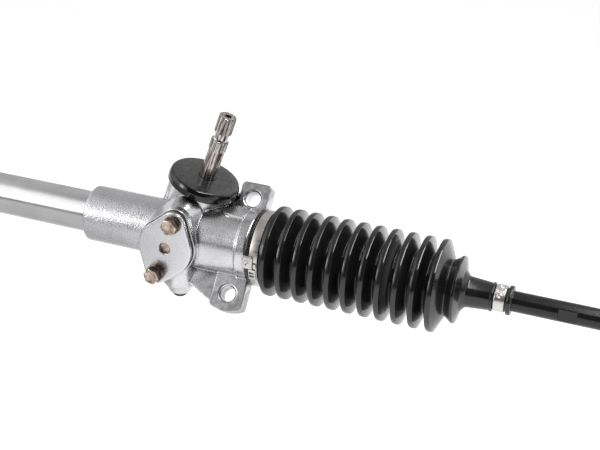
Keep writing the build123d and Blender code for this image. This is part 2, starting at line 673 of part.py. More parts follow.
def cover_bolt(offset, washer):
    under_head = COVER_FACE + washer
    head = hex_bar(BOLT_HEAD_FLATS, under_head, under_head + BOLT_HEAD)
    crown = Cone(BOLT_HEAD_FLATS / 2 + BOLT_HEAD * 2, BOLT_HEAD_FLATS / 2 - 0.4, BOLT_HEAD * 2 + 0.4,
                 align=(Align.CENTER, Align.CENTER, Align.MAX))
    head &= Pos(0, 0, under_head + BOLT_HEAD) * crown
    shank = round_bar(BOLT_R - SEAT, flange_face - BOLT_REACH, under_head + 1)
    return YOKE * Pos(0, offset) * (head + shank)


def spring_washer(offset, washer):
    piece = ring(WASHER_R, BOLT_R + 0.1, COVER_FACE, COVER_FACE + washer)
    slot = Pos(WASHER_R / 2 + BOLT_R / 2, 0, COVER_FACE) * Rot(20, 0, 0) * Box(WASHER_R, 0.7, 4 * washer)
    return YOKE * Pos(0, offset) * (piece - slot)


# ------------------------------------------------------------------ tie-rod joints
def inner_socket():
    body = turned_x([
        (socket_back, 0), (socket_back, SOCKET_R - 1), (socket_back + 1, SOCKET_R),
        (ball_x + SOCKET_FRONT - 2.5, SOCKET_R), (ball_x + SOCKET_FRONT, SOCKET_R - 2.0),
        (ball_x + SOCKET_FRONT, 0)])
    body -= RACK * round_bar(STUD_R, socket_back - 1, socket_back + STUD_LENGTH)
    body -= Pos(ball_x, 0, 0) * Sphere(seat_cavity_r)
    reach = SOCKET_FRONT + 1
    wide = reach * math.tan(math.radians(SOCKET_MOUTH))
    body -= turned_x([(ball_x, 0), (ball_x + reach, wide), (ball_x + reach, 0)])
    flats = RACK * hex_bar(SOCKET_FLATS, socket_back - 1, socket_back + SOCKET_FLATS_LENGTH)
    keep = RACK * round_bar(SOCKET_R + 1, socket_back + SOCKET_FLATS_LENGTH - 1, ball_x + SOCKET_FRONT + 1)
    return body & (flats + keep)


def lock_washer():
    """Tab washer between the rack and the socket."""
    return RACK * ring(LOCK_WASHER_R, STUD_R, SHOULDER_X, socket_back)


def ball_seat():
    """Plastic shell round the ball, open toward the rod."""
    outer = BALL_JOINT_R + RUNNING + BALL_SEAT_WALL
    shell = Sphere(outer) - Sphere(BALL_JOINT_R + RUNNING)
    reach = outer + 1
    wide = reach * math.tan(math.radians(SEAT_MOUTH))
    shell -= turned_x([(0, 0), (reach, wide), (reach, 0)])
    shell -= Pos(-outer, 0, 0) * Box(7, 2 * outer, 2 * outer)
    return Pos(ball_x, 0, 0) * shell


def tie_rod():
    thread_x = ball_x + ROD_LENGTH
    neck_x = ball_x + ROD_NECK_LENGTH
    rod = turned_x([
        (ball_x, 0), (ball_x, ROD_NECK_R), (neck_x, ROD_NECK_R), (neck_x + ROD_NECK_TAPER, ROD_R),
        (thread_x - 1, ROD_R), (thread_x, THREAD_R), (thread_x + THREAD_LENGTH - 1.5, THREAD_R),
        (thread_x + THREAD_LENGTH, THREAD_R - 1.5), (thread_x + THREAD_LENGTH, 0)])
    rod += Pos(ball_x, 0, 0) * Sphere(BALL_JOINT_R)
    rod -= Pos(ball_x - BALL_JOINT_R, 0, 0) * Box(3, 2 * BALL_JOINT_R, 2 * BALL_JOINT_R)
    flats_end = thread_x - ROD_FLATS_INSET
    for side in (1, -1):
        rod -= Pos(flats_end - ROD_FLATS_LENGTH / 2, side * (ROD_FLATS / 2 + ROD_R), 0) * Box(
            ROD_FLATS_LENGTH, 2 * ROD_R, 4 * ROD_R)
    return rod


def jam_nut():
    start = ball_x + ROD_LENGTH + JAM_NUT_PLACE
    nut = hex_bar(JAM_NUT_FLATS, start, start + JAM_NUT_THICKNESS)
    crown = chamfer(round_bar(JAM_NUT_FLATS / 2 * 1.13, start, start + JAM_NUT_THICKNESS).edges(), 1.2)
    return RACK * ((nut & crown) - round_bar(THREAD_R, start - 1, start + JAM_NUT_THICKNESS + 1))


# ------------------------------------------------------------------ bellows and clamps
def neck_start_x():
    return BARREL_END_X + CREST_START + (CREST_COUNT - 1) * CREST_PITCH + SMALL_CREST_GAP + NECK_GAP


def neck_seat_x():
    return neck_start_x() + NECK_LENGTH


def bellows_outside():
    """(x, radius) along the outside, from the cuff to the neck lip."""
    cuff = BARREL_END_X + CUFF_START
    band_end = BARREL_END_X + BAND_START + BAND_WIDTH + 0.4
    points = [(cuff, CUFF_LIP_R), (cuff + CUFF_LIP_LENGTH, CUFF_LIP_R), (cuff + CUFF_LIP_LENGTH, CUFF_R),
              (band_end, CUFF_R), (band_end, CUFF_R + 1)]
    for k in range(CREST_COUNT):
        x = BARREL_END_X + CREST_START + k * CREST_PITCH
        points += [(x - CREST_LAND / 2, CREST_R), (x + CREST_LAND / 2, CREST_R)]
        if k < CREST_COUNT - 1:
            middle = x + CREST_PITCH / 2
            points += [(middle - VALLEY_LAND / 2, VALLEY_R), (middle + VALLEY_LAND / 2, VALLEY_R)]
    small = x + SMALL_CREST_GAP
    points += [((x + small) / 2 + 0.8, SMALL_VALLEY_R),
               (small - 1.2, SMALL_CREST_R), (small + 1.2, SMALL_CREST_R), (neck_start_x(), NECK_R),
               (neck_seat_x() - 0.5, NECK_END_R), (neck_seat_x(), NECK_SEAT_R),
               (neck_seat_x() + NECK_SEAT_LENGTH, NECK_SEAT_R),
               (neck_seat_x() + NECK_SEAT_LENGTH + 0.5, NECK_LIP_R),
               (neck_seat_x() + NECK_SEAT_LENGTH + NECK_LIP_LENGTH, NECK_LIP_R)]
    return points


def bellows_inside():
    """(x, radius) along the inside, from the cuff to the neck lip."""
    cuff = BARREL_END_X + CUFF_START
    points = [(cuff, NOSE_R), (nose_end_x, NOSE_R)]
    for k in range(CREST_COUNT):
        x = BARREL_END_X + CREST_START + k * CREST_PITCH
        points += [(x, CREST_R - BELLOWS_WALL)]
        if k < CREST_COUNT - 1:
            points += [(x + CREST_PITCH / 2, VALLEY_R - BELLOWS_WALL)]
    small = x + SMALL_CREST_GAP
    points += [((x + small) / 2 + 0.8, SMALL_VALLEY_R - BELLOWS_WALL), (small, SMALL_CREST_R - BELLOWS_WALL),
               (neck_start_x() - 1, NECK_R - BELLOWS_WALL), (neck_seat_x() - 1, ROD_R + SOFT),
               (neck_seat_x() + NECK_SEAT_LENGTH + NECK_LIP_LENGTH, ROD_R + SOFT)]
    return points


def bellows():
    return turned_x(bellows_outside() + list(reversed(bellows_inside())))


def big_clamp():
    start = BARREL_END_X + BAND_START
    band_r = CUFF_R + SOFT + BAND_THICKNESS
    band = ring(band_r, CUFF_R + SOFT, start, start + BAND_WIDTH)
    tab_r = band_r + BAND_TAB_RISE
    tab_end = start + BAND_WIDTH / 2
    tab = ring(tab_r, band_r - BAND_THICKNESS / 2, start + SEAT, tab_end)
    tab += ring(tab_r, CUFF_LIP_R + SOFT, start - BAND_TAB_OVERHANG, tab_end)
    tab &= Pos(0, 0, start) * Rot(0, 0, -90) * Pos(CUFF_R, 0, 0) * Box(20, BAND_TAB_LENGTH, 4 * BAND_WIDTH)
    return Rot(BAND_TAB_ANGLE, 0, 0) * RACK * (band + tab)


def small_clamp():
    start = neck_seat_x() + 0.7
    return RACK * ring(NECK_SEAT_R + SOFT + SMALL_BAND_THICKNESS, NECK_SEAT_R + SOFT, start,
                       start + SMALL_BAND_WIDTH)


# ------------------------------------------------------------------ all pieces
def all_pieces():
    pieces = {
        "rack_housing": rack_housing(),
        "housing_tube": housing_tube(),
        "far_housing": far_housing(),
        "rack_bush": rack_bush(),
        "pinion_shaft": pinion_shaft(),
        "bearing_outer_race": bearing_outer_race(),
        "bearing_inner_race": bearing_inner_race(),
        "bearing_balls": bearing_balls(),
        "bearing_circlip": bearing_circlip(),
        "pinion_seal": pinion_seal(),
        "dust_cap": dust_cap(),
        "lower_bush": lower_bush(),
        "lower_plug": lower_plug(),
        "filler_plug": filler_plug(),
        "yoke": yoke(),
        "yoke_liner": yoke_liner(),
        "yoke_spring": yoke_spring(),
        "yoke_o_ring": yoke_o_ring(),
        "yoke_cover": yoke_cover(),
        "cover_gasket": cover_gasket(),
        "cover_plug": cover_plug(),
        "cover_bolt_upper": cover_bolt(*bolt_places()[0]),
        "cover_bolt_lower": cover_bolt(*bolt_places()[1]),
        "bolt_washer_upper": spring_washer(*bolt_places()[0]),
        "bolt_washer_lower": spring_washer(*bolt_places()[1]),
        "rack_bar": rack_bar(),
    }
    for name, make in (("inner_socket", inner_socket), ("lock_washer", lock_washer), ("ball_seat", ball_seat),
                       ("tie_rod", tie_rod), ("jam_nut", jam_nut), ("bellows", bellows),
                       ("big_clamp", big_clamp), ("small_clamp", small_clamp)):
        piece = make()
        pieces[name + "_near"] = piece
        pieces[name + "_far"] = far_end(piece)
    return pieces


to_origin = Pos(*(-ear_origin.position))
os.makedirs("parts", exist_ok=True)
for node, shape in all_pieces().items():
    export_step(to_origin * shape, "parts/" + node + ".step")
print("origin in the gear's frame:", ear_origin.position)
print("pinion y %.3f, ball x %.3f, pitch radius %.4f" % (pinion_y, ball_x, pitch_r))
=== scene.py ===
import json
import math

import bmesh
import bpy
from mathutils import Matrix, Vector
from mathutils.geometry import tessellate_polygon
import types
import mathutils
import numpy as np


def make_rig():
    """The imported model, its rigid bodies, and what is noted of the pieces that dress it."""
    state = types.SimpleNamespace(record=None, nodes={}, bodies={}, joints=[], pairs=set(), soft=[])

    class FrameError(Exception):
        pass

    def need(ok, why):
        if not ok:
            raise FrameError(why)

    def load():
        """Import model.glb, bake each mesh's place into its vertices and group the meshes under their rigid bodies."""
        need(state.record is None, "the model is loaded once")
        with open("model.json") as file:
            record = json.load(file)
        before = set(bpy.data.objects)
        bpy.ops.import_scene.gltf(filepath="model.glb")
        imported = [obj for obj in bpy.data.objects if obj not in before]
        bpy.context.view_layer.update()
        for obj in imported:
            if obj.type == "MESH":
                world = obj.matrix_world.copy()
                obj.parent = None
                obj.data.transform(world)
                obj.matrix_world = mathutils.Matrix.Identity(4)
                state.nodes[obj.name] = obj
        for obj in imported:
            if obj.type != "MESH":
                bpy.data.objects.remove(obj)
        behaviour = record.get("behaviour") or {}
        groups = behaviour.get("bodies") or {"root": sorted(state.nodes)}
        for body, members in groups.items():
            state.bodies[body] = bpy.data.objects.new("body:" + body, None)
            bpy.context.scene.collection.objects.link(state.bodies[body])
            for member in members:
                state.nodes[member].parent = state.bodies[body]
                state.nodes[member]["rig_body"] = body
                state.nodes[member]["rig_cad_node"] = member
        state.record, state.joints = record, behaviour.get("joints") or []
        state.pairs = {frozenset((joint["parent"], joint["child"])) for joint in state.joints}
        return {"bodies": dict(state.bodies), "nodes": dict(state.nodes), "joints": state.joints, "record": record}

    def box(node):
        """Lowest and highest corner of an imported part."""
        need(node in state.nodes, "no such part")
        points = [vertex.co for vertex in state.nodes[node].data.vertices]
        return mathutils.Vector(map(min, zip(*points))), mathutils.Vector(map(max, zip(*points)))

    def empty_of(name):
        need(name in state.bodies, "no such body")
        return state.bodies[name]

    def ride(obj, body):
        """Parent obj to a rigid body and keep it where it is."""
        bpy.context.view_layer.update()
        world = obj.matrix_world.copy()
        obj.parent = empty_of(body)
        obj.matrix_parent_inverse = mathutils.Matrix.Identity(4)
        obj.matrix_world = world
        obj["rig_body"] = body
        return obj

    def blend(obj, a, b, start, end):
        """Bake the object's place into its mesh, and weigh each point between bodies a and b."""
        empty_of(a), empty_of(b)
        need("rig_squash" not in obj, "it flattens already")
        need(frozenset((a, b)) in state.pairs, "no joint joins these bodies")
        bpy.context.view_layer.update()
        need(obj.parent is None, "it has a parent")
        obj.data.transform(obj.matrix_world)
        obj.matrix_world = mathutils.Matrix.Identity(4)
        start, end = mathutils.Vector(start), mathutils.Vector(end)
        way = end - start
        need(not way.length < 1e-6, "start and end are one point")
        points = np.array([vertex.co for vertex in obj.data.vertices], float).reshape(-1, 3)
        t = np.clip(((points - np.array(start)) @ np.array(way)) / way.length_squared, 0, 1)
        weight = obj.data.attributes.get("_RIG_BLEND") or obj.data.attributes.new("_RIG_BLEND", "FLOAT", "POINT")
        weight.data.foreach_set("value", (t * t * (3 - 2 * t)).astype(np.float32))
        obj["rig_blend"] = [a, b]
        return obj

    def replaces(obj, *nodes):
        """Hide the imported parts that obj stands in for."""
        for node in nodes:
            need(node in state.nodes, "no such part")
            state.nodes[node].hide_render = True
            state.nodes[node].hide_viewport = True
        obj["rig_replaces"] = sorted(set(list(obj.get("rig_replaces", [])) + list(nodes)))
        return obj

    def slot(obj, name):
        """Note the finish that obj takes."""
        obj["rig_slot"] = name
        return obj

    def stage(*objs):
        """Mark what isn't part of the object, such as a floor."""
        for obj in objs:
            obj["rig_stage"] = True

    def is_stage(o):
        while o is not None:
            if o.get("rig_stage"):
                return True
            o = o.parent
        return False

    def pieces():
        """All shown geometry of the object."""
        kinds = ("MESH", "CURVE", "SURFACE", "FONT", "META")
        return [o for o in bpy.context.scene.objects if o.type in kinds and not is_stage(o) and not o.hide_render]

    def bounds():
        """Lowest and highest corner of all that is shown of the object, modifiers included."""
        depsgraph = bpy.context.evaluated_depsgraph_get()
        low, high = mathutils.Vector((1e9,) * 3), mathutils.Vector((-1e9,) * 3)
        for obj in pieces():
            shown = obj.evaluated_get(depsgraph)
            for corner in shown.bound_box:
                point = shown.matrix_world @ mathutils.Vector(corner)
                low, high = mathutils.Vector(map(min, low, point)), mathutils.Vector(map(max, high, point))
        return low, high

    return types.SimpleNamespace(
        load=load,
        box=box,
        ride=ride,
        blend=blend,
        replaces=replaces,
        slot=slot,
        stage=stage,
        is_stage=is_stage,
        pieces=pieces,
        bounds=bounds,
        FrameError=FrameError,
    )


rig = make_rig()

MM = 0.001                                   # sizes are in mm, and places in metres, unless they say so

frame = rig.load()
cad_low, cad_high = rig.bounds()
NODES = frame["nodes"]
JOINTS = {joint["name"]: joint for joint in frame["joints"]}


# ------------------------------------------------------------------ places taken from the frame
tube_low, tube_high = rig.box("housing_tube")
AXIS_Y = (tube_low.y + tube_high.y) / 2      # the rack's axis runs along X
AXIS_Z = (tube_low.z + tube_high.z) / 2
PINION_POINT = Vector(JOINTS["pinion_turn"]["pos_m"])
PINION_AXIS = Vector(JOINTS["pinion_turn"]["axis"]).normalized()
NEAR_BALL = Vector(JOINTS["near_rod_swing"]["pos_m"])
FAR_BALL = Vector(JOINTS["far_rod_swing"]["pos_m"])
CROSSING = Vector((PINION_POINT.x, AXIS_Y, AXIS_Z))
FRONT = Vector((0, -1, 0))
ACROSS = PINION_AXIS.cross(FRONT)            # across the cover; its length lies along the pinion


# ------------------------------------------------------------------ material tools
class Nodes:
    """A material under construction: makes nodes, links them and remembers the shader."""

    def __init__(self, name, color, metallic=0.0, roughness=0.5):
        self.material = bpy.data.materials.new(name)
        self.material.use_nodes = True
        self.tree = self.material.node_tree
        self.shader = self.tree.nodes["Principled BSDF"]
        self.shader.inputs["Base Color"].default_value = (*color, 1)
        self.shader.inputs["Metallic"].default_value = metallic
        self.shader.inputs["Roughness"].default_value = roughness
        self.place = self.node("ShaderNodeTexCoord").outputs["Object"]

    def node(self, kind, **settings):
        made = self.tree.nodes.new(kind)
        for key, value in settings.items():
            setattr(made, key, value)
        return made

    def feed(self, socket, value):
        if isinstance(value, bpy.types.NodeSocket):
            self.tree.links.new(value, socket)
        elif hasattr(value, "__len__") and len(value) == 3 and socket.type == "RGBA":
            socket.default_value = (*value, 1)
        else:
            socket.default_value = value

    def noise(self, scale, detail=4.0, rough=0.55, distortion=0.0, stretch=None):
        """Noise in 0..1 whose features are about 1/scale metres across."""
        made = self.node("ShaderNodeTexNoise")
        made.inputs["Scale"].default_value = scale
        made.inputs["Detail"].default_value = detail
        made.inputs["Roughness"].default_value = rough
        made.inputs["Distortion"].default_value = distortion
        place = self.place
        if stretch:
            mapping = self.node("ShaderNodeMapping")
            mapping.inputs["Scale"].default_value = stretch
            self.feed(mapping.inputs["Vector"], place)
            place = mapping.outputs["Vector"]
        self.feed(made.inputs["Vector"], place)
        return made.outputs["Fac"]

    def cells(self, scale):
        """Distance from the nearest of many scattered points, about 1/scale metres apart."""
        made = self.node("ShaderNodeTexVoronoi")
        made.inputs["Scale"].default_value = scale
        self.feed(made.inputs["Vector"], self.place)
        return made.outputs["Distance"]

    def ramp(self, value, low, high, out_low=0.0, out_high=1.0):
        """Straight step from out_low to out_high as the value goes from low to high."""
        made = self.node("ShaderNodeMapRange")
        for name, given in (("Value", value), ("From Min", low), ("From Max", high),
                            ("To Min", out_low), ("To Max", out_high)):
            self.feed(made.inputs[name], given)
        return made.outputs["Result"]

    def math(self, operation, first, second=0.0):
        made = self.node("ShaderNodeMath", operation=operation)
        self.feed(made.inputs[0], first)
        self.feed(made.inputs[1], second)
        return made.outputs["Value"]

    def mix(self, factor, first, second):
        """The first colour where the factor is 0 and the second where it is 1."""
        made = self.node("ShaderNodeMix", data_type="RGBA")
        self.feed(made.inputs["Factor"], factor)
        self.feed(made.inputs["A"], first)
        self.feed(made.inputs["B"], second)
        return made.outputs["Result"]

    def dot(self, vector, axis):
        made = self.node("ShaderNodeVectorMath", operation="DOT_PRODUCT")
        self.feed(made.inputs[0], vector)
        made.inputs[1].default_value = axis
        return made.outputs["Value"]

    def facing(self, direction):
        """1 where the surface faces a direction of the piece's own frame, 0 where it lies along it."""
        return self.dot(self.node("ShaderNodeTexCoord").outputs["Normal"], direction)

    def measured(self, axis):
        """Distance in metres along an axis of the piece's own frame."""
        return self.dot(self.place, axis)

    def turn_to(self, across, front, along, squeeze):
        """Measures places in another set of axes from here on, squeezed along the last one."""
        joined = self.node("ShaderNodeCombineXYZ")
        self.feed(joined.inputs["X"], self.measured(across))
        self.feed(joined.inputs["Y"], self.measured(front))
        self.feed(joined.inputs["Z"], self.math("MULTIPLY", self.measured(along), squeeze))
        self.place = joined.outputs["Vector"]

    def hollow(self, reach):
        """0 deep in a corner and 1 in the open; reach in mm."""
        made = self.node("ShaderNodeAmbientOcclusion", samples=16)
        made.inputs["Distance"].default_value = reach * MM
        return made.outputs["AO"]

    def edges(self):
        """0 in hollows, 0.5 on flats and 1 on sharp edges."""
        return self.node("ShaderNodeNewGeometry").outputs["Pointiness"]

    def bump(self, height, distance, under=None):
        """Relief of a height in 0..1 over a distance in metres, on top of another relief."""
        made = self.node("ShaderNodeBump")
        made.inputs["Distance"].default_value = distance
        self.feed(made.inputs["Height"], height)
        if under is not None:
            self.feed(made.inputs["Normal"], under)
        return made.outputs["Normal"]

    def gloss(self, level):
        """Strength of the clear reflection of a non-metal; 0.5 is the usual one."""
        self.shader.inputs["Specular IOR Level"].default_value = level

    def finish(self, color, roughness, normal):
        for name, value in (("Base Color", color), ("Roughness", roughness), ("Normal", normal)):
            self.feed(self.shader.inputs[name], value)
        return self.material


# ------------------------------------------------------------------ materials
EARS_FROM = (-0.030, -0.024)                 # where the ears' painted shade and extra roughness begin: metres along the rack, and off the height of its axis
EARS_BEYOND = (0.029, 0.033)
COARSE_UNTIL = (-0.080, -0.060)              # the coarse sand grain of the left boss ends here
SPLINES_UNTIL = 75.0                         # mm along the pinion, where its lower splines end
DRILL_R = 2.6                                # centre drill in the pinion's end, which gets painted shade
DRILL_FROM = 96.5


def cast_aluminium():
    """Sand casting, shiny where it was rubbed, stained in its pits and rougher on its ears, with painted shade on its
    ears and in its corners.
    """
    m = Nodes("cast_aluminium", (0.66, 0.66, 0.67), metallic=1.0, roughness=0.35)
    broad = m.noise(55, detail=3)
    grain = m.noise(850, detail=4, rough=0.65)
    rough_patch = m.ramp(m.noise(34, detail=2), 0.40, 0.58)
    pits = m.cells(400)
    base = m.mix(m.ramp(broad, 0.35, 0.7), (0.62, 0.62, 0.64), (0.73, 0.73, 0.745))
    x = m.measured((1, 0, 0))
    off_axis = m.math("ABSOLUTE", m.math("SUBTRACT", m.measured((0, 0, 1)), AXIS_Z))
    ears = m.math("MULTIPLY", m.ramp(x, *EARS_FROM), m.ramp(off_axis, *EARS_BEYOND))
    worn = m.mix(m.ramp(grain, 0.42, 0.62, 0.0, 0.40), base, (0.84, 0.84, 0.85))
    stained = m.mix(m.ramp(grain, 0.30, 0.44, 0.40, 0.0), worn, (0.34, 0.33, 0.33))
    # painted shade: the ears are darkened in colour
    ear_shade = m.mix(m.ramp(m.noise(240, detail=4), 0.35, 0.65), (0.20, 0.20, 0.205), (0.50, 0.50, 0.51))
    ear_shaded = m.mix(m.math("MULTIPLY", ears, 0.75), stained, ear_shade)
    # painted shade: darker in corners and creases, by the occlusion
    color = m.mix(m.ramp(m.hollow(5.0), 0.30, 0.90, 0.92, 0.0), ear_shaded, (0.12, 0.115, 0.115))
    rough = m.math("ADD", m.ramp(grain, 0.3, 0.7, 0.21, 0.31), m.math("MULTIPLY", ears, 0.1))
    rolling = m.bump(broad, 0.00012)
    coarseness = m.ramp(x, *COARSE_UNTIL, 1.0, 0.15)
    coarse = m.math("MULTIPLY", grain, coarseness)
    grained = m.bump(coarse, 0.00024, under=rolling)
    height = m.math("MULTIPLY", m.ramp(pits, 0.0, 0.4), m.math("MULTIPLY", rough_patch, coarseness))
    return m.finish(color, rough, m.bump(height, 0.00012, under=grained))


def drawn_steel(name, color, roughness, hollows=0.0):
    """Bright steel with fine lines along the rack; hollows says how much painted shade darkens its corners."""
    m = Nodes(name, color, metallic=1.0, roughness=roughness)
    lines = m.noise(700, detail=3, stretch=(0.03, 1, 1))
    broad = m.noise(40, detail=3)
    shade = tuple(0.86 * c for c in color)
    base = m.mix(m.ramp(broad, 0.3, 0.7), shade, color)
    # painted shade: darker in corners, by the occlusion
    deep = m.mix(m.ramp(m.hollow(1.6), 0.35, 0.9, hollows, 0.0), base, (0.05, 0.045, 0.04))
    return m.finish(deep, m.ramp(lines, 0.3, 0.7, roughness * 0.8, roughness * 1.35),
                    m.bump(lines, 0.00003))


def zinc_plate():
    """Bright zinc on the cover, with a slight yellow tint in places."""
    m = Nodes("zinc_plate", (0.84, 0.84, 0.87), metallic=1.0, roughness=0.26)
    patches = m.noise(70, detail=4)
    tint = m.noise(38, detail=2, distortion=0.8)
    fine = m.noise(1200, detail=3)
    base = m.mix(m.ramp(patches, 0.3, 0.7), (0.68, 0.68, 0.71), (0.76, 0.76, 0.785))
    color = m.mix(m.ramp(tint, 0.5, 0.8, 0.0, 0.35), base, (0.74, 0.72, 0.63))
    return m.finish(color, m.ramp(fine, 0.3, 0.7, 0.22, 0.34), m.bump(fine, 0.00002))


def yellow_zinc():
    """Blotched yellow zinc, worn on its faces, with painted shade on its sides and in its corners."""
    m = Nodes("yellow_zinc", (0.55, 0.43, 0.33), metallic=1.0, roughness=0.34)
    patches = m.noise(300, detail=5, rough=0.65)
    worn = m.noise(1100, detail=4)
    color = m.mix(m.ramp(patches, 0.40, 0.60), (0.33, 0.24, 0.19), (0.68, 0.57, 0.48))
    color = m.mix(m.ramp(worn, 0.56, 0.68), color, (0.80, 0.72, 0.64))
    # painted shade: the sides that don't face the front are darkened
    color = m.mix(m.ramp(m.facing(FRONT), 0.35, 0.85, 0.85, 0.0), color, (0.10, 0.07, 0.055))
    # painted shade: darker in corners, by the occlusion
    color = m.mix(m.ramp(m.hollow(2.5), 0.3, 0.9, 0.85, 0.0), color, (0.05, 0.035, 0.03))
    return m.finish(color, m.ramp(worn, 0.3, 0.7, 0.26, 0.46), m.bump(patches, 0.00016))


def black_plastic():
    """Glossy black, with dust and a painted sheen on the cap's top."""
    m = Nodes("black_cap", (0.012, 0.012, 0.013), roughness=0.12)
    dust = m.noise(260, detail=6, rough=0.7)
    broad = m.noise(35, detail=3)
    m.gloss(0.62)
    dust_and_sheen = m.mix(m.ramp(dust, 0.35, 0.75), (0.015, 0.015, 0.016), (0.070, 0.070, 0.074))
    # dust and painted sheen: the top is lighter and the sides darker
    color = m.mix(m.ramp(m.facing(PINION_AXIS), 0.85, 0.97), (0.004, 0.004, 0.005), dust_and_sheen)
    return m.finish(color, m.ramp(broad, 0.3, 0.7, 0.08, 0.15), m.bump(broad, 0.00006))


def bellows_rubber():
    """Glossy rubber with a grey bloom and painted highlight lines on its edges."""
    m = Nodes("bellows_rubber", (0.006, 0.006, 0.007), roughness=0.2)
    m.gloss(0.7)
    skin = m.noise(800, detail=4, rough=0.6)
    broad = m.noise(50, detail=3)
    color = m.mix(m.ramp(broad, 0.35, 0.7), (0.008, 0.008, 0.0085), (0.018, 0.018, 0.0185))
    # bloom and painted highlight: sharp edges are lightened into grey lines
    bloom_and_highlight = m.math("MULTIPLY", m.ramp(m.edges(), 0.515, 0.55), m.ramp(skin, 0.25, 0.6, 0.5, 1.0))
    color = m.mix(bloom_and_highlight, color, (0.12, 0.12, 0.125))
    return m.finish(color, m.ramp(broad, 0.3, 0.7, 0.11, 0.18), m.bump(skin, 0.000008))


def pinion_steel():
    """Oily steel, brown and streaked on its smooth part, with painted shade in its spline grooves, its corners and its
    centre drill.
    """
    m = Nodes("pinion_steel", (0.42, 0.36, 0.33), metallic=1.0, roughness=0.25)
    stain = m.noise(130, detail=5, distortion=0.6)
    along, across, front = (m.math("SUBTRACT", m.measured(axis), PINION_POINT.dot(axis))
                            for axis in (PINION_AXIS, ACROSS, FRONT))
    smooth = m.ramp(along, (SPLINES_UNTIL + 1) * MM, (SPLINES_UNTIL - 1) * MM, 0.0, 0.9)
    splined = m.math("SUBTRACT", 0.9, smooth)
    radius = m.math("SQRT", m.math("ADD", m.math("MULTIPLY", across, across), m.math("MULTIPLY", front, front)))
    # painted shade: the centre drill is darkened and made rough
    drilled = m.math("MULTIPLY", m.ramp(radius, DRILL_R * MM, (DRILL_R + 0.2) * MM, 1.0, 0.0),
                     m.ramp(along, (DRILL_FROM - 0.5) * MM, (DRILL_FROM + 0.5) * MM))
    m.turn_to(ACROSS, FRONT, PINION_AXIS, 0.06)
    streaks = m.noise(1000, detail=3, rough=0.6)
    grooves = m.noise(700, detail=1, rough=0.4)
    thin = m.noise(2000, detail=2)
    color = m.mix(m.ramp(stain, 0.35, 0.65), (0.56, 0.51, 0.48), (0.80, 0.76, 0.72))
    brown = m.math("MULTIPLY", m.ramp(streaks, 0.44, 0.56), smooth)
    color = m.mix(brown, color, (0.17, 0.12, 0.12))
    # painted shade: dark lines in the spline zones stand for the grooves' shade
    groove_shade = m.math("MULTIPLY", m.ramp(grooves, 0.47, 0.55), splined)
    color = m.mix(groove_shade, color, (0.13, 0.11, 0.10))
    color = m.mix(m.ramp(streaks, 0.34, 0.42, 0.9, 0.0), color, (0.92, 0.90, 0.87))
    # painted shade: darker in corners, by the occlusion, and in the centre drill
    deep = m.math("MAXIMUM", m.ramp(m.hollow(0.9), 0.45, 0.88, 1.0, 0.0), drilled)
    rough = m.math("ADD", m.ramp(thin, 0.3, 0.7, 0.16, 0.30), m.math("MULTIPLY", drilled, 0.5))
    return m.finish(m.mix(deep, color, (0.02, 0.015, 0.015)), rough, m.bump(thin, 0.00005))


def plain(name, color, roughness, metallic, scale, shade, spread):
    """Patches of a darker shade of one colour, and a fine grain that spreads the roughness."""
    m = Nodes(name, color, metallic=metallic, roughness=roughness)
    patches = m.noise(scale, detail=4)
    fine = m.noise(10 * scale, detail=3)
    return m.finish(m.mix(m.ramp(patches, 0.3, 0.7), tuple(shade * c for c in color), color),
                    m.ramp(fine, 0.3, 0.7, *(roughness * factor for factor in spread)), m.bump(fine, 0.00003))


def plain_metal(name, color, roughness):
    return plain(name, color, roughness, 1.0, 150, 0.8, (0.8, 1.3))


def plain_moulding(name, color, roughness):
    return plain(name, color, roughness, 0.0, 200, 0.75, (0.85, 1.2))


SLOTS = {
    "cast_aluminium": cast_aluminium(),
    "steel_tube": drawn_steel("steel_tube", (0.80, 0.80, 0.81), 0.16),
    "white_plastic": plain_moulding("white_plastic", (0.80, 0.79, 0.75), 0.4),
    "bearing_steel": plain_metal("bearing_steel", (0.70, 0.70, 0.71), 0.16),
    "black_steel": plain_metal("black_steel", (0.10, 0.10, 0.11), 0.4),
    "seal_rubber": plain_moulding("seal_rubber", (0.02, 0.02, 0.02), 0.5),
    "black_cap": black_plastic(),
    "bronze": plain_metal("bronze", (0.62, 0.42, 0.22), 0.35),
    "bare_steel": plain_metal("bare_steel", (0.60, 0.59, 0.57), 0.28),
    "sintered_yoke": plain_metal("sintered_yoke", (0.36, 0.36, 0.37), 0.5),
    "zinc_plate": zinc_plate(),
    "gasket": plain_moulding("gasket", (0.05, 0.05, 0.052), 0.6),
    "yellow_zinc": yellow_zinc(),
    "bellows_rubber": bellows_rubber(),
    # the bands get strong painted shade in their corners
    "band_steel": drawn_steel("band_steel", (0.72, 0.70, 0.67), 0.28, 0.95),
    "pinion_steel": pinion_steel(),
    "black_rod": plain_moulding("black_rod", (0.012, 0.012, 0.013), 0.15),
}


def dress_nodes():
    """Gives every CAD node the material of its slot in the record."""
    for part in frame["record"]["subparts"]:
        node = NODES[part["node"]]
        node.data.materials.clear()
        node.data.materials.append(SLOTS[part["material_slot"]])
        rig.slot(node, part["material_slot"])


dress_nodes()


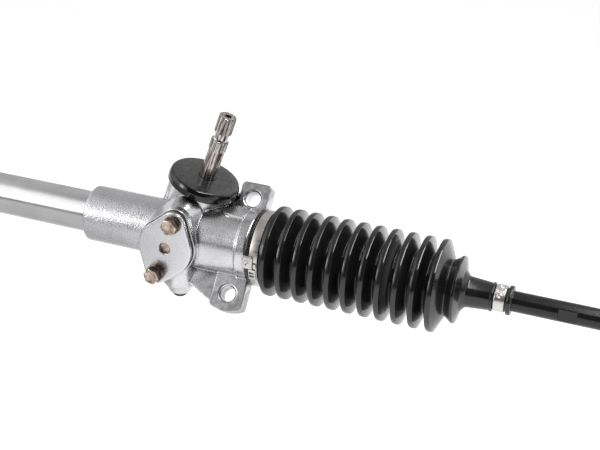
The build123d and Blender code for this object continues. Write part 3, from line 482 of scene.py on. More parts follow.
# ------------------------------------------------------------------ mesh tools
def mesh_piece(name, vertices, faces, slot, body=None, sharp=32):
    """A smooth-shaded mesh object whose edges above the sharp angle, in degrees, stay crisp."""
    mesh = bpy.data.meshes.new(name)
    mesh.from_pydata([tuple(v) for v in vertices], [], faces)
    mesh.materials.append(SLOTS[slot])
    shaper = bmesh.new()
    shaper.from_mesh(mesh)
    bmesh.ops.recalc_face_normals(shaper, faces=shaper.faces)
    shaper.to_mesh(mesh)
    shaper.free()
    mesh.shade_smooth()
    mesh.set_sharp_from_angle(angle=math.radians(sharp))
    piece = bpy.data.objects.new(name, mesh)
    bpy.context.scene.collection.objects.link(piece)
    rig.slot(piece, slot)
    if body:
        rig.ride(piece, body)
    return piece


def rounded(corners, steps=5):
    """An outline from (along, radius, corner radius) triples, each corner turned by an arc."""
    points = []
    for k, (u, r, corner) in enumerate(corners):
        here = Vector((u, r))
        if corner == 0 or k in (0, len(corners) - 1):
            points.append(here)
            continue
        back = Vector(corners[k - 1][:2]) - here
        ahead = Vector(corners[k + 1][:2]) - here
        half = back.angle(ahead) / 2
        reach = min(corner / math.tan(half), 0.49 * back.length, 0.49 * ahead.length)
        start, end = here + back.normalized() * reach, here + ahead.normalized() * reach
        for step in range(steps + 1):
            t = step / steps
            points.append((1 - t) ** 2 * start + 2 * t * (1 - t) * here + t ** 2 * end)
    return points


def ring_mesh(outline, place, turns=144):
    """Vertices and faces of a closed outline of (along, radius) turned about the axis that place() maps."""
    vertices = []
    for k in range(turns):
        angle = math.tau * k / turns
        vertices += [place(u, r, angle) for u, r in outline]
    count = len(outline)
    faces = []
    for k in range(turns):
        ahead = (k + 1) % turns
        for j in range(count):
            nxt = (j + 1) % count
            faces.append((k * count + j, k * count + nxt, ahead * count + nxt, ahead * count + j))
    return vertices, faces


def along_rack(start_x, direction):
    """Maps (along mm, radius mm, angle) to the row frame, from start_x towards direction (+1 or -1)."""
    def place(u, r, angle):
        return Vector((start_x + direction * u * MM, AXIS_Y + r * MM * math.cos(angle),
                       AXIS_Z + r * MM * math.sin(angle)))
    return place


# ------------------------------------------------------------------ places on the cover
COVER_INNER = 32.2                           # mm from the rack's axis, and so is the face
COVER_FACE = 36.7
COVER_HALF_WIDTH = 23.0
COVER_END_R = 10.0
COVER_BOLT_OFFSET = 23.5
COVER_HOLE_R = 4.9


def on_cover(across, along, out):
    """Row-frame place from mm across and along the cover and outward from the rack's axis."""
    return CROSSING + (ACROSS * across + PINION_AXIS * along + FRONT * out) * MM


def cover_loop(grow, out, turns=180):
    """The cover's outline, a hull of three circles, grown by a margin and put at one height."""
    circles = ((0.0, COVER_HALF_WIDTH), (COVER_BOLT_OFFSET, COVER_END_R), (-COVER_BOLT_OFFSET, COVER_END_R))
    loop = []
    for k in range(turns):
        side, rise = math.cos(math.tau * k / turns), math.sin(math.tau * k / turns)
        along, radius = max(circles, key=lambda circle: circle[0] * rise + circle[1])
        loop.append(((radius + grow) * side, along + (radius + grow) * rise, out))
    return loop


def round_loop(along, radius, out, turns=48):
    """A circle on the cover, at one height."""
    return [(radius * math.cos(math.tau * k / turns), along + radius * math.sin(math.tau * k / turns), out)
            for k in range(turns)]


def wall(stack, first):
    """Faces that join a stack of equal loops whose vertices start at index first."""
    count = len(stack[0])
    faces = []
    for level in range(len(stack) - 1):
        low, high = first + level * count, first + (level + 1) * count
        faces += [(low + k, low + (k + 1) % count, high + (k + 1) % count, high + k) for k in range(count)]
    return faces


# ------------------------------------------------------------------ castings
CAST_VOXEL = 0.5 * MM
CAST_SMOOTHING = 2
CAST_KEEP = 0.4                              # share of the faces that stays


def apply_modifiers(piece):
    """Bakes a piece's modifiers into a new mesh."""
    evaluated = piece.evaluated_get(bpy.context.evaluated_depsgraph_get())
    mesh = bpy.data.meshes.new_from_object(evaluated)
    piece.modifiers.clear()
    piece.data = mesh


def welded_copy(name, node):
    """A closed copy of a CAD node's mesh."""
    shaper = bmesh.new()
    shaper.from_mesh(NODES[node].data)
    bmesh.ops.remove_doubles(shaper, verts=shaper.verts, dist=0.001 * MM)
    mesh = bpy.data.meshes.new(name)
    shaper.to_mesh(mesh)
    shaper.free()
    piece = bpy.data.objects.new(name, mesh)
    bpy.context.scene.collection.objects.link(piece)
    return piece


def casting(name, node, body, extra=None):
    """The CAD node, and an extra form grown on it, with the soft fillets and edges of a sand casting."""
    piece = welded_copy(name, node)
    if extra:
        shaper = bmesh.new()
        shaper.from_mesh(piece.data)
        vertices = [shaper.verts.new(place) for place in extra[0]]
        for face in extra[1]:
            shaper.faces.new([vertices[index] for index in face])
        bmesh.ops.recalc_face_normals(shaper, faces=shaper.faces)
        shaper.to_mesh(piece.data)
        shaper.free()
    remesh = piece.modifiers.new("voxels", "REMESH")
    remesh.mode = "VOXEL"
    remesh.voxel_size = CAST_VOXEL
    smooth = piece.modifiers.new("smooth", "SMOOTH")
    smooth.factor = 0.5
    smooth.iterations = CAST_SMOOTHING
    plain = piece.modifiers.new("plain", "DECIMATE")
    plain.ratio = CAST_KEEP
    apply_modifiers(piece)
    piece.data.materials.clear()
    piece.data.materials.append(SLOTS["cast_aluminium"])
    piece.data.shade_smooth()
    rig.ride(piece, body)
    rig.replaces(piece, node)
    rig.slot(piece, "cast_aluminium")


def yoke_boss():
    """Vertices and faces of the boss behind the cover, which flares towards its root."""
    loops = [cover_loop(grow, out) for grow, out in ((4.5, 6.0), (4.5, 12.0), (1.0, 26.0), (1.0, 30.5))]
    count = len(loops[0])
    last = (len(loops) - 1) * count
    faces = wall(loops, 0) + [tuple(range(count)), tuple(range(last, last + count))]
    return [on_cover(*corner) for loop in loops for corner in loop], faces


casting("housing_casting", "rack_housing", "housing", yoke_boss())
casting("far_casting", "far_housing", "housing")


# ------------------------------------------------------------------ bellows
CUFF_R = 30.1                                # seat of the big clamp
CUFF_RIM_R = 31.3
CUFF_MOUTH_R = 29.2
CUFF_BORE_R = 27.7
CREST_COUNT = 11
CREST_PITCH = 13.32
CREST_R = 36.7
CREST_LAND = 4.0                             # width of a crest's top
CREST_DOME = 6.5                             # and the radius it is domed to
VALLEY_R = 22.6
INNER_CREST_R = 35.0
INNER_VALLEY_R = 21.0
FIRST_CREST = 16.7                           # from the cuff's open end, and so are the next ones
LAST_VALLEY = 158.5
LAST_VALLEY_R = 22.0
SMALL_CREST = 165.4
SMALL_CREST_R = 26.5
NECK_START = 172.6
NECK_END = 193.2
NECK_ROOT_R = 12.2
NECK_TIP_R = 10.4
CLAMP_SEAT_R = 9.4
SEAT_END = 203.2
LIP_END = 207.2
LIP_R = 11.5
ROD_GRIP_R = 8.15
SLIDE_START = 6.0                            # from here to SLIDE_END the folds take up the rack's travel,
SLIDE_END = 114.0                            # then they turn with the seat up to SWING_END
SWING_END = 134.0                            # and rise with the rod up to RISE_END; all lie on flanks
RISE_END = 162.0


def crest_corners(middle, rounding, steps=5):
    """A crest with a gently domed land between its two rounded edges."""
    corners = []
    for k in range(-steps, steps + 1):
        aside = CREST_LAND / 2 * k / steps
        radius = CREST_R - aside ** 2 / (2 * CREST_DOME)
        corners.append((middle + aside, radius, rounding if abs(k) == steps else 0))
    return corners


def bellows_outlines():
    """Outer and inner outline from the cuff to the lip."""
    outer = [(0, CUFF_MOUTH_R, 0), (0, CUFF_RIM_R, 0.8), (3.0, CUFF_RIM_R, 0.8), (3.4, CUFF_R, 0.3),
             (11.6, CUFF_R, 0.3), (12.0, CUFF_RIM_R + 0.1, 0.6), (13.2, CUFF_RIM_R + 0.1, 0.8)]
    inner = [(0, CUFF_MOUTH_R, 0), (0, CUFF_BORE_R, 0), (11.9, CUFF_BORE_R, 0.5)]
    for k in range(CREST_COUNT):
        middle = FIRST_CREST + k * CREST_PITCH
        outer += crest_corners(middle, 1.6 if k == 0 else 0.5)
        inner.append((middle, INNER_CREST_R, 1.0))
        if k < CREST_COUNT - 1:
            outer.append((middle + CREST_PITCH / 2, VALLEY_R, 1.3))
            inner.append((middle + CREST_PITCH / 2, INNER_VALLEY_R, 1.0))
    outer += [(LAST_VALLEY, LAST_VALLEY_R, 1.3), (SMALL_CREST - 1.0, SMALL_CREST_R, 0.7),
              (SMALL_CREST + 1.0, SMALL_CREST_R, 0.7), (SMALL_CREST + 3.6, 16.6, 6.0),
              (NECK_START, NECK_ROOT_R, 3.0), (NECK_END - 2.4, NECK_TIP_R + 0.4, 0.5),
              (NECK_END - 2.0, NECK_TIP_R + 1.1, 0.5), (NECK_END - 0.4, NECK_TIP_R + 1.0, 0.5),
              (NECK_END, CLAMP_SEAT_R, 0.2), (SEAT_END, CLAMP_SEAT_R, 0.3),
              (SEAT_END + 0.3, LIP_R, 1.4), (LIP_END, LIP_R, 1.4), (LIP_END, ROD_GRIP_R, 0)]
    inner += [(LAST_VALLEY, LAST_VALLEY_R - 1.6, 1.0), (SMALL_CREST, SMALL_CREST_R - 1.7, 0.8),
              (SMALL_CREST + 2.8, 15.2, 3.0),
              (NECK_START, NECK_ROOT_R - 1.8, 2.0), (NECK_END, ROD_GRIP_R, 0.5), (LIP_END, ROD_GRIP_R, 0)]
    return rounded(outer), rounded(inner)


def point_at(outline, where):
    """The outline's point at a place along it."""
    for (u0, r0), (u1, r1) in zip(outline, outline[1:]):
        if u0 <= where <= u1 and u1 > u0:
            return (where, r0 + (r1 - r0) * (where - u0) / (u1 - u0))


def between(outline, start, end):
    """The stretch of an outline from start to end, cut exactly there; None stands for its own end."""
    kept = [tuple(p) for p in outline if (start is None or p[0] > start) and (end is None or p[0] < end)]
    before = [] if start is None else [point_at(outline, start)]
    after = [] if end is None else [point_at(outline, end)]
    return before + kept + after


def bellows(side, start_x, direction):
    """Ribbed bellows in three pieces, one for each joint that it crosses."""
    outer, inner = bellows_outlines()
    place = along_rack(start_x, direction)
    axis_point = lambda u: place(u, 0, 0)
    whole = {"body": (None, SLIDE_END), "elbow": (SLIDE_END, SWING_END), "neck": (SWING_END, None)}
    pieces = {}
    for part, (start, end) in whole.items():
        loop = between(outer, start, end) + between(inner, start, end)[::-1]
        loop = [p for k, p in enumerate(loop) if (Vector(p) - Vector(loop[k - 1])).length > 1e-4]
        vertices, faces = ring_mesh(loop, place)
        piece = mesh_piece(f"bellows_{side}_{part}", vertices, faces, "bellows_rubber", sharp=50)
        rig.replaces(piece, f"bellows_{side}")
        pieces[part] = piece
    seat, rod = f"{side}_seat", f"{side}_rod"
    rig.blend(pieces["body"], "housing", "rack", axis_point(SLIDE_START), axis_point(SLIDE_END))
    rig.blend(pieces["elbow"], "rack", seat, axis_point(SLIDE_END), axis_point(SWING_END))
    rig.blend(pieces["neck"], seat, rod, axis_point(SWING_END), axis_point(RISE_END))


bellows("near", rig.box("bellows_near")[0].x, 1)
bellows("far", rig.box("bellows_far")[1].x, -1)


# ------------------------------------------------------------------ cover, bolts, cap and plug
PLUG_FACE = 33.6                             # mm from the rack's axis
PLUG_R = COVER_HOLE_R - 0.03
PLUG_SHANK_R = 3.8
BOLT_HOLE_R = 4.2
BOLT_R = 3.98
BOLT_HEAD_FLATS = 12.0
BOLT_HEAD = 5.5
BOLT_END = 17.4                              # shank's inner end, mm from the rack's axis
UPPER_WASHER = 2.2
LOWER_WASHER = 4.4
CAP_LOW = 39.8                               # mm along the pinion from the rack's axis, and so are the next
CAP_SEAT = 44.6
CAP_TOP = 49.0
CAP_R = 29.5
CAP_SPIGOT_R = 22.62
CAP_BORE_R = 7.2
CAP_OFFSET = 1.3                             # its rim sits this far to the left, which begins at one
CAP_OFFSET_FROM = 23.0                       # radius and is reached over the next few mm
CAP_OFFSET_OVER = 5.0


def cover_piece():
    """Stamped cover with rolled edges, two bolt holes and the plug's hole."""
    edge = [cover_loop(grow, out) for grow, out in (
        (-1.8, COVER_INNER), (-0.5, COVER_INNER), (0.0, COVER_INNER + 0.5), (0.0, COVER_FACE - 1.1),
        (-0.15, COVER_FACE - 0.55), (-0.55, COVER_FACE - 0.15), (-1.1, COVER_FACE), (-1.8, COVER_FACE))]
    stacks = [edge]
    holes = ((COVER_BOLT_OFFSET, BOLT_HOLE_R), (-COVER_BOLT_OFFSET, BOLT_HOLE_R), (0, COVER_HOLE_R))
    for along, radius in holes:
        stacks.append([round_loop(along, radius + grow, out) for grow, out in (
            (0.0, COVER_INNER), (0.0, COVER_FACE - 0.5), (0.12, COVER_FACE - 0.15), (0.5, COVER_FACE),
            (0.9, COVER_FACE))])
    vertices, faces, lows, highs = [], [], [], []
    for stack in stacks:
        first, count = len(vertices), len(stack[0])
        faces += wall(stack, first)
        lows.append(range(first, first + count))
        highs.append(range(first + (len(stack) - 1) * count, first + len(stack) * count))
        vertices += [corner for loop in stack for corner in loop]
    for ends in (lows, highs):
        flat = [index for loop in ends for index in loop]
        loops = [[Vector((vertices[index][0], vertices[index][1], 0)) for index in loop] for loop in ends]
        faces += [tuple(flat[corner] for corner in triangle) for triangle in tessellate_polygon(loops)]
    piece = mesh_piece("cover_plate", [on_cover(*corner) for corner in vertices], faces, "zinc_plate",
                       "housing", sharp=50)
    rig.replaces(piece, "yoke_cover")


def skin(rings, place):
    """A closed skin through rings of (along, radius) given per angle; both ends are closed by a face."""
    turns = len(rings[0])
    vertices = [place(u, r, math.tau * k / turns) for ring in rings for k, (u, r) in enumerate(ring)]
    faces = wall(rings, 0)
    faces.append(tuple(range(turns)))
    faces.append(tuple(range((len(rings) - 1) * turns, len(rings) * turns)))
    return vertices, faces


def hexagon(flats, angle):
    """Distance from a hexagon's centre to its side."""
    return flats / 2 / math.cos(angle % (math.pi / 3) - math.pi / 6)


def cover_bolt(name, along, washer, turn):
    """Hexagon bolt with a chamfered, slightly dished head."""
    turns = 72
    seat = COVER_FACE + washer
    top = seat + BOLT_HEAD
    crown = 0.94 * BOLT_HEAD_FLATS / 2
    sides = [hexagon(BOLT_HEAD_FLATS, math.tau * k / turns) for k in range(turns)]

    def level(u, r):
        return [(u, r)] * turns

    rings = [level(BOLT_END, BOLT_R - 0.6), level(BOLT_END + 0.6, BOLT_R), level(seat, BOLT_R),
             level(seat, crown), level(seat + 0.25, crown + 0.05), [(seat + 0.5, side) for side in sides],
             [(top - (side - crown) * 0.62, side) for side in sides], level(top, crown),
             level(top, crown - 0.7), level(top - 0.35, crown - 1.3), level(top - 0.45, 0.8)]

    def place(u, r, angle):
        return on_cover(r * math.cos(angle + turn), along + r * math.sin(angle + turn), u)

    vertices, faces = skin(rings, place)
    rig.replaces(mesh_piece(f"bolt_{name}", vertices, faces, "yellow_zinc", "housing"), f"cover_bolt_{name}")


def cap_piece():
    """Dust cap with a rounded rim, which doesn't sit quite straight."""
    outline = rounded([
        (CAP_TOP, CAP_BORE_R, 0), (CAP_TOP, 21.0, 8.0), (CAP_TOP - 0.9, CAP_R - 1.2, 2.4),
        (CAP_TOP - 4.4, CAP_R, 2.4), (CAP_LOW, CAP_R, 0.7), (CAP_LOW, CAP_SPIGOT_R, 0.2),
        (CAP_SEAT, CAP_SPIGOT_R, 0.3), (CAP_SEAT, CAP_BORE_R, 0)], steps=7)

    def place(u, r, angle):
        shift = CAP_OFFSET * min(max((r - CAP_OFFSET_FROM) / CAP_OFFSET_OVER, 0.0), 1.0)
        side, front = r * math.cos(angle) - shift, r * math.sin(angle)
        return PINION_POINT + (PINION_AXIS * u + ACROSS * side + FRONT * front) * MM

    vertices, faces = ring_mesh(outline, place, turns=192)
    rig.replaces(mesh_piece("cap", vertices, faces, "black_cap", "housing", sharp=50), "dust_cap")


def plug_piece():
    """Dished plug low in the cover's middle hole."""
    outline = rounded([(COVER_INNER - 1.8, 0.01, 0), (COVER_INNER - 1.8, PLUG_SHANK_R, 0.4),
                       (COVER_INNER, PLUG_SHANK_R, 0.1), (COVER_INNER, PLUG_R, 0.1), (PLUG_FACE, PLUG_R, 0.5),
                       (PLUG_FACE, 1.6, 1.0), (PLUG_FACE - 0.5, 0.01, 0)])

    def place(u, r, angle):
        return on_cover(r * math.cos(angle), r * math.sin(angle), u)

    vertices, faces = ring_mesh(outline, place, turns=64)
    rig.replaces(mesh_piece("plug", vertices, faces, "yellow_zinc", "housing"), "cover_plug")


cover_piece()
plug_piece()
cover_bolt("upper", COVER_BOLT_OFFSET, UPPER_WASHER, 0.35)
cover_bolt("lower", -COVER_BOLT_OFFSET, LOWER_WASHER, 0.1)
cap_piece()


# ------------------------------------------------------------------ tie rods
ROD_R = 8.0
ROD_NECK_R = 5.4
BALL_R = 12.0
ROD_NECK_END = 21.0                          # from the ball's centre, and so are the next ones
ROD_CONE_END = 30.0
ROD_THREAD_START = 180.0
ROD_END = 240.0
THREAD_R = 7.0
THREAD_DEPTH = 0.92
THREAD_PITCH = 1.5
FLATS_START = 144.0
FLATS_END = 158.0
ROD_FLATS = 13.0                             # width across the two spanner flats


def rod_radius(u, angle):
    """Radius of the rod's surface at a place along it and round it."""
    neck_begin = math.sqrt(BALL_R ** 2 - ROD_NECK_R ** 2)
    if u < neck_begin:
        return math.sqrt(max(BALL_R ** 2 - u ** 2, 0.04))
    if u < ROD_NECK_END:
        return ROD_NECK_R
    if u < ROD_CONE_END:
        return ROD_NECK_R + (ROD_R - ROD_NECK_R) * (u - ROD_NECK_END) / (ROD_CONE_END - ROD_NECK_END)
    if u < ROD_THREAD_START - 1.0:
        if FLATS_START < u < FLATS_END:
            return min(ROD_R, ROD_FLATS / 2 / max(abs(math.cos(angle)), 0.01))
        return ROD_R
    if u < ROD_THREAD_START:
        return ROD_R - (u - ROD_THREAD_START + 1.0)
    phase = ((u - ROD_THREAD_START) / THREAD_PITCH - angle / math.tau) % 1
    tooth = min(max(1.25 * abs(2 * phase - 1) - 0.125, 0.0), 1.0)
    fade = min(1.0, (u - ROD_THREAD_START) / 2.5)
    chamfer = max(0.0, u - ROD_END + 1.2)
    return min(THREAD_R - THREAD_DEPTH * fade * tooth, THREAD_R - chamfer)


def rod_stations():
    """Places along the rod at which its skin has a ring."""
    stations = [-BALL_R + 0.02]
    stations += [BALL_R * math.sin(math.radians(a)) for a in range(-85, 63, 5)]
    stations += [10.73, 15.0, ROD_NECK_END - 0.1, ROD_NECK_END + 0.1, 25.0]
    stations += [ROD_CONE_END - 0.1, ROD_CONE_END + 0.1, 60.0, 100.0]
    stations += [FLATS_START - 0.01, FLATS_START + 0.01, FLATS_END - 0.01, FLATS_END + 0.01]
    stations += [ROD_THREAD_START - 1.0, ROD_THREAD_START - 0.05]
    count = int((ROD_END - ROD_THREAD_START) / THREAD_PITCH * 6)
    stations += [ROD_THREAD_START + k * THREAD_PITCH / 6 for k in range(1, count + 1)]
    return stations


def tie_rod(side, ball, direction):
    """Rod with its ball, spanner flats and threaded end."""
    turns = 72
    rings = [[(u, rod_radius(u, math.tau * k / turns)) for k in range(turns)] for u in rod_stations()]
    vertices, faces = skin(rings, along_rack(ball.x, direction))
    piece = mesh_piece(f"rod_{side}", vertices, faces, "black_rod", f"{side}_rod", sharp=28)
    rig.replaces(piece, f"tie_rod_{side}")


tie_rod("near", NEAR_BALL, 1)
tie_rod("far", FAR_BALL, -1)


# ------------------------------------------------------------------ clamps
BIG_BAND_R = 31.3
BIG_BAND_INNER = 30.3
BIG_BAND_WIDTH = 7.2
BUCKLE_OVERHANG = 4.8                        # buckle's reach over the cuff's lip
BUCKLE_ANGLE = math.radians(178)             # seen from the rack's axis, 180 being the front
BUCKLE_LENGTH = 11.0
BUCKLE_R = 32.9
BUCKLE_THICKNESS = 1.3
HOOK_RISE = 1.7
TONGUE_RISE = 0.9
SUNK = 0.3                                   # how deep what lies on a band reaches into it
SMALL_BAND_R = 10.2
SMALL_BAND_INNER = 9.5
SMALL_BAND_WIDTH = 8.0
LAYER_RISE = 0.65                            # of the small band's outer layer over the inner one
LAYER_ARC = 2.2                              # its length in radians
LAYER_END = math.pi + 0.08


def patch(place, u_range, angle_range, inner, height, steps=(16, 16)):
    """A curved plate on a band; height(s, t) gives its outer radius, s and t running from -1 to 1."""
    columns, rows = steps
    vertices, faces = [], []
    for layer in range(2):
        for i in range(columns + 1):
            for j in range(rows + 1):
                s, t = 2 * i / columns - 1, 2 * j / rows - 1
                u = u_range[0] + (s + 1) / 2 * (u_range[1] - u_range[0])
                angle = angle_range[0] + (t + 1) / 2 * (angle_range[1] - angle_range[0])
                vertices.append(place(u, height(s, t) if layer else inner, angle))
    layer_size = (columns + 1) * (rows + 1)
    for i in range(columns):
        for j in range(rows):
            a = i * (rows + 1) + j
            corner = (a, a + 1, a + rows + 2, a + rows + 1)
            faces.append(corner)
            faces.append(tuple(layer_size + index for index in corner))
    rim = list(range(rows + 1)) + [i * (rows + 1) + rows for i in range(1, columns + 1)]
    rim += [columns * (rows + 1) + j for j in range(rows - 1, -1, -1)]
    rim += [i * (rows + 1) for i in range(columns - 1, 0, -1)]
    faces += [(a, b, layer_size + b, layer_size + a) for a, b in zip(rim, rim[1:] + rim[:1])]
    return vertices, faces


def join(parts):
    """One mesh from several (vertices, faces) pairs."""
    vertices, faces = [], []
    for more_vertices, more_faces in parts:
        first = len(vertices)
        vertices += more_vertices
        faces += [tuple(first + index for index in face) for face in more_faces]
    return vertices, faces


def dip(distance, width):
    """1 at a distance of 0, and fading over a width."""
    return math.exp(-(distance / width) ** 2)


def big_clamp(side, start_x, direction):
    """Band with a pressed buckle, a hook and a slotted tongue."""
    place = along_rack(start_x, direction)
    band = rounded([(0, BIG_BAND_INNER, 0), (0, BIG_BAND_R, 0.4), (BIG_BAND_WIDTH, BIG_BAND_R, 0.4),
                    (BIG_BAND_WIDTH, BIG_BAND_INNER, 0)], steps=3)
    half = BUCKLE_LENGTH / 2 / BUCKLE_R

    def buckle(s, t):
        edge = 0.5 * max(0.0, max(abs(s), abs(t)) - 0.85) / 0.15
        reach = math.hypot(4.2 * s, 5.5 * (t - 0.1))
        return BUCKLE_R - edge + 0.22 * dip(reach - 1.9, 0.5) - 0.8 * dip(reach, 1.1)

    def tongue(s, t):
        slot = abs(s + 0.1) < 0.66 and (abs(t + 0.42) < 0.19 or abs(t - 0.22) < 0.19)
        return BIG_BAND_R + (-0.15 if slot else TONGUE_RISE)

    def hook(s, t):
        return BIG_BAND_R + HOOK_RISE - 0.4 * s * s

    def foot(s, t):
        return BUCKLE_R - BUCKLE_THICKNESS + 0.1

    above, below = BUCKLE_ANGLE - half, BUCKLE_ANGLE + half
    middle, seat = BIG_BAND_WIDTH / 2, BIG_BAND_R - SUNK
    parts = [ring_mesh(band, place),
             patch(place, (-BUCKLE_OVERHANG, middle), (above, below), BUCKLE_R - BUCKLE_THICKNESS,
                   buckle, (28, 28)),
             patch(place, (1.0, middle - 0.2), (above + 0.02, below - 0.02), seat, foot, (4, 12)),
             patch(place, (0.4, BIG_BAND_WIDTH - 1.0), (below + 0.015, below + 0.34), seat, tongue, (30, 60)),
             patch(place, (middle + 0.7, BIG_BAND_WIDTH - 0.6), (below - 0.16, below - 0.06), seat, hook,
                   (8, 8))]
    vertices, faces = join(parts)
    piece = mesh_piece(f"clamp_{side}", vertices, faces, "band_steel", "housing", sharp=30)
    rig.replaces(piece, f"big_clamp_{side}")


def small_clamp(side, start_x, direction):
    """Ear-less band with an overlapping outer layer, its locking holes and its pips."""
    place = along_rack(start_x, direction)
    width = SMALL_BAND_WIDTH
    band = rounded([(0, SMALL_BAND_INNER, 0), (0, SMALL_BAND_R, 0.2), (width, SMALL_BAND_R, 0.2),
                    (width, SMALL_BAND_INNER, 0)], steps=3)

    def layer(s, t):
        u, arc = (s + 1) * width / 2, LAYER_END + (t - 1) * LAYER_ARC / 2
        surface = SMALL_BAND_R + LAYER_RISE - 0.2 * max(0.0, abs(s) - 0.9) / 0.1
        for mark_u, elevation, round_mark in ((3.9, 36, True), (4.1, 58, False), (3.8, 84, True)):
            away = (math.pi - math.radians(elevation) - arc) * SMALL_BAND_R
            reach = math.hypot(u - mark_u, away)
            if round_mark:
                surface += 0.25 * dip(reach - 1.35, 0.3) - 0.6 * dip(reach, 0.75)
            elif abs(u - mark_u) < 1.2 and abs(away) < 0.9:
                surface -= 0.55
        return surface

    parts = [ring_mesh(band, place, turns=96),
             patch(place, (0, width), (LAYER_END - LAYER_ARC, LAYER_END), SMALL_BAND_R - SUNK, layer,
                   (40, 110))]
    vertices, faces = join(parts)
    piece = mesh_piece(f"small_clamp_{side}_band", vertices, faces, "band_steel", f"{side}_rod", sharp=30)
    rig.replaces(piece, f"small_clamp_{side}")


big_clamp("near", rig.box("big_clamp_near")[1].x - BIG_BAND_WIDTH * MM, 1)
big_clamp("far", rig.box("big_clamp_far")[0].x + BIG_BAND_WIDTH * MM, -1)
small_clamp("near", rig.box("small_clamp_near")[0].x, 1)
small_clamp("far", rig.box("small_clamp_far")[1].x, -1)


# ------------------------------------------------------------------ camera, fitted to the photograph
CAMERA_PLACE = Vector((0.32054, -0.80601, 0.42640))
CAMERA_AZIMUTH = math.radians(18.81)
CAMERA_ELEVATION = math.radians(24.86)
CAMERA_ROLL = math.radians(3.39)
LENS = 70.87


def make_camera():
    """Camera at the photograph's viewing angle; azimuth 0 looks along Y."""
    turn, lift = CAMERA_AZIMUTH, CAMERA_ELEVATION
    level = Vector((math.cos(turn), math.sin(turn), 0))
    rise = Vector((-math.sin(turn) * math.sin(lift), math.cos(turn) * math.sin(lift), math.cos(lift)))
    right = level * math.cos(CAMERA_ROLL) + rise * math.sin(CAMERA_ROLL)
    up = rise * math.cos(CAMERA_ROLL) - level * math.sin(CAMERA_ROLL)
    data = bpy.data.cameras.new("camera")
    data.lens = LENS
    data.sensor_width = 36
    camera = bpy.data.objects.new("camera", data)
    bpy.context.scene.collection.objects.link(camera)
    axes = Matrix((right, up, right.cross(up))).transposed().to_4x4()
    camera.matrix_world = Matrix.Translation(CAMERA_PLACE) @ axes
    bpy.context.scene.camera = camera


# ------------------------------------------------------------------ studio
FLOOR_DROP = 0.16                            # floor below the lowest point of the gear
FLOOR_SIZE = 12.0
FLOOR_GLOW = 0.60                            # added for the camera, so that the floor reads white
FLOOR_SHEEN = (0.0, 0.50, 1.10)              # added in reflections: at the left, near the gear, far behind
SHEEN_SLANT = -0.31                          # the left part's edge runs back along this slant
SHEEN_EDGES = ((-0.16, -0.06), (0.0, 0.22), (0.5, 0.9))    # left part, behind the gear, far behind
FRONT_LEVEL = 0.05                           # the studio's brightness in front
LEFT_SCREEN = 1.30                           # a tall screen fills the studio's left side
SCREEN_FOOT = 0.22                           # below the screen
BACK_LEFT = 0.50
BACK_RIGHT = 1.0
TOP_LEVEL = 0.36
FOOT_Z = (0.04, 0.18)                        # directions in which one level gives way to the next
SCREEN_X = (-0.41, -0.355)
BACK_X = (-0.2, 0.3)
BACK_Y = (-0.1, 0.4)
TOP_Z = (0.75, 0.9)


def map_range(tree, value, low, high, out_low, out_high):
    """Smooth step of a value from one level, or socket, to another."""
    made = tree.nodes.new("ShaderNodeMapRange")
    made.interpolation_type = "SMOOTHSTEP"
    tree.links.new(value, made.inputs["Value"])
    for name, given in (("From Min", low), ("From Max", high), ("To Min", out_low), ("To Max", out_high)):
        if isinstance(given, bpy.types.NodeSocket):
            tree.links.new(given, made.inputs[name])
        else:
            made.inputs[name].default_value = given
    return made.outputs["Result"]


def make_floor():
    """Pale floor that shows white to the camera and has its own brightness in reflections."""
    material = bpy.data.materials.new("pale_floor")
    material.use_nodes = True
    tree = material.node_tree
    shader = tree.nodes["Principled BSDF"]
    shader.inputs["Base Color"].default_value = (0.64, 0.64, 0.64, 1)
    shader.inputs["Roughness"].default_value = 0.9
    shader.inputs["Specular IOR Level"].default_value = 0.0
    glow = tree.nodes.new("ShaderNodeEmission")
    glow.inputs["Color"].default_value = (1, 1, 1, 1)
    path = tree.nodes.new("ShaderNodeLightPath")
    place = tree.nodes.new("ShaderNodeSeparateXYZ")
    tree.links.new(tree.nodes.new("ShaderNodeTexCoord").outputs["Object"], place.inputs["Vector"])
    slant = tree.nodes.new("ShaderNodeMath")
    slant.operation = "MULTIPLY_ADD"
    tree.links.new(place.outputs["Y"], slant.inputs[0])
    slant.inputs[1].default_value = SHEEN_SLANT
    tree.links.new(place.outputs["X"], slant.inputs[2])
    left, near, far = FLOOR_SHEEN
    left_edge, near_edge, far_edge = SHEEN_EDGES
    sheen = map_range(tree, slant.outputs["Value"], *left_edge, left, near)
    sheen = map_range(tree, place.outputs["Y"], *near_edge, sheen, near)
    sheen = map_range(tree, place.outputs["Y"], *far_edge, sheen, far)
    for_camera = map_range(tree, path.outputs["Is Camera Ray"], 0.0, 1.0, 0.0, FLOOR_GLOW)
    strength = map_range(tree, path.outputs["Is Glossy Ray"], 0.0, 1.0, for_camera, sheen)
    tree.links.new(strength, glow.inputs["Strength"])
    both = tree.nodes.new("ShaderNodeAddShader")
    tree.links.new(shader.outputs["BSDF"], both.inputs[0])
    tree.links.new(glow.outputs["Emission"], both.inputs[1])
    tree.links.new(both.outputs["Shader"], tree.nodes["Material Output"].inputs["Surface"])
    half = FLOOR_SIZE / 2
    level = cad_low.z - FLOOR_DROP
    mesh = bpy.data.meshes.new("floor")
    mesh.from_pydata([(-half, -half, level), (half, -half, level), (half, half, level), (-half, half, level)],
                     [], [(0, 1, 2, 3)])
    mesh.materials.append(material)
    floor = bpy.data.objects.new("floor", mesh)
    bpy.context.scene.collection.objects.link(floor)
    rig.stage(floor)


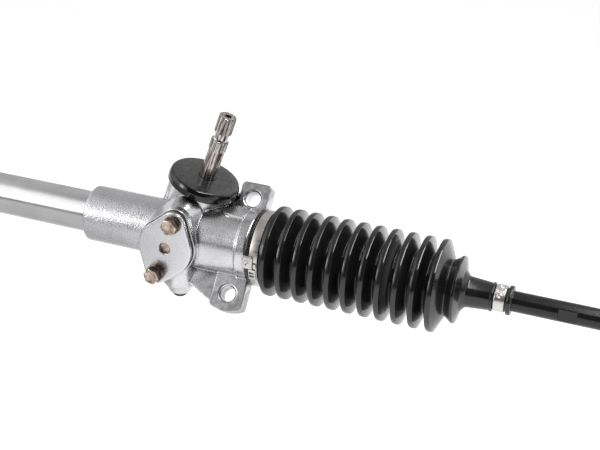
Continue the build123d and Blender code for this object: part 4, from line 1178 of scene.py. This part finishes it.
def make_world():
    """A studio that is dark in front, and bright behind the gear and to its left."""
    world = bpy.data.worlds.new("studio")
    bpy.context.scene.world = world
    world.use_nodes = True
    tree = world.node_tree

    direction = tree.nodes.new("ShaderNodeSeparateXYZ")
    tree.links.new(tree.nodes.new("ShaderNodeTexCoord").outputs["Generated"], direction.inputs["Vector"])
    x, y, z = (direction.outputs[axis] for axis in "XYZ")
    screen = map_range(tree, z, *FOOT_Z, SCREEN_FOOT, LEFT_SCREEN)
    level = map_range(tree, x, *SCREEN_X, screen, FRONT_LEVEL)
    level = map_range(tree, y, *BACK_Y, level, map_range(tree, x, *BACK_X, BACK_LEFT, BACK_RIGHT))
    level = map_range(tree, z, *TOP_Z, level, TOP_LEVEL)
    seen = tree.nodes.new("ShaderNodeLightPath").outputs["Is Camera Ray"]
    tree.links.new(map_range(tree, seen, 0.0, 1.0, level, 1.0), tree.nodes["Background"].inputs["Strength"])
    tree.nodes["Background"].inputs["Color"].default_value = (1, 1, 1, 1)


def softbox(name, place, aim, width, height, power):
    """An area lamp aimed at a place, or straight down where aim is None."""
    data = bpy.data.lights.new(name, "AREA")
    data.shape = "RECTANGLE"
    data.size = width
    data.size_y = height
    data.energy = power
    light = bpy.data.objects.new(name, data)
    bpy.context.scene.collection.objects.link(light)
    light.location = place
    if aim:
        light.rotation_mode = "QUATERNION"
        light.rotation_quaternion = (Vector(aim) - Vector(place)).to_track_quat("-Z", "Y")


def make_lights():
    aim = (0.0, 0.0, 0.0)
    softbox("softbox_left", (-1.1, -1.15, 0.5), aim, 0.40, 0.6, 4.0)
    softbox("softbox_top", (0.40, -0.10, 1.2), None, 0.22, 1.5, 11.0)
    softbox("softbox_right", (1.4, -0.45, 0.4), aim, 0.35, 1.1, 1.5)


bpy.context.scene.view_settings.view_transform = "Standard"
make_camera()
make_floor()
make_world()
make_lights()

low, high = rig.bounds()
with open("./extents.json", "w") as size_file:
    json.dump({"cad": [list(cad_low), list(cad_high)], "visual": [list(low), list(high)]}, size_file)
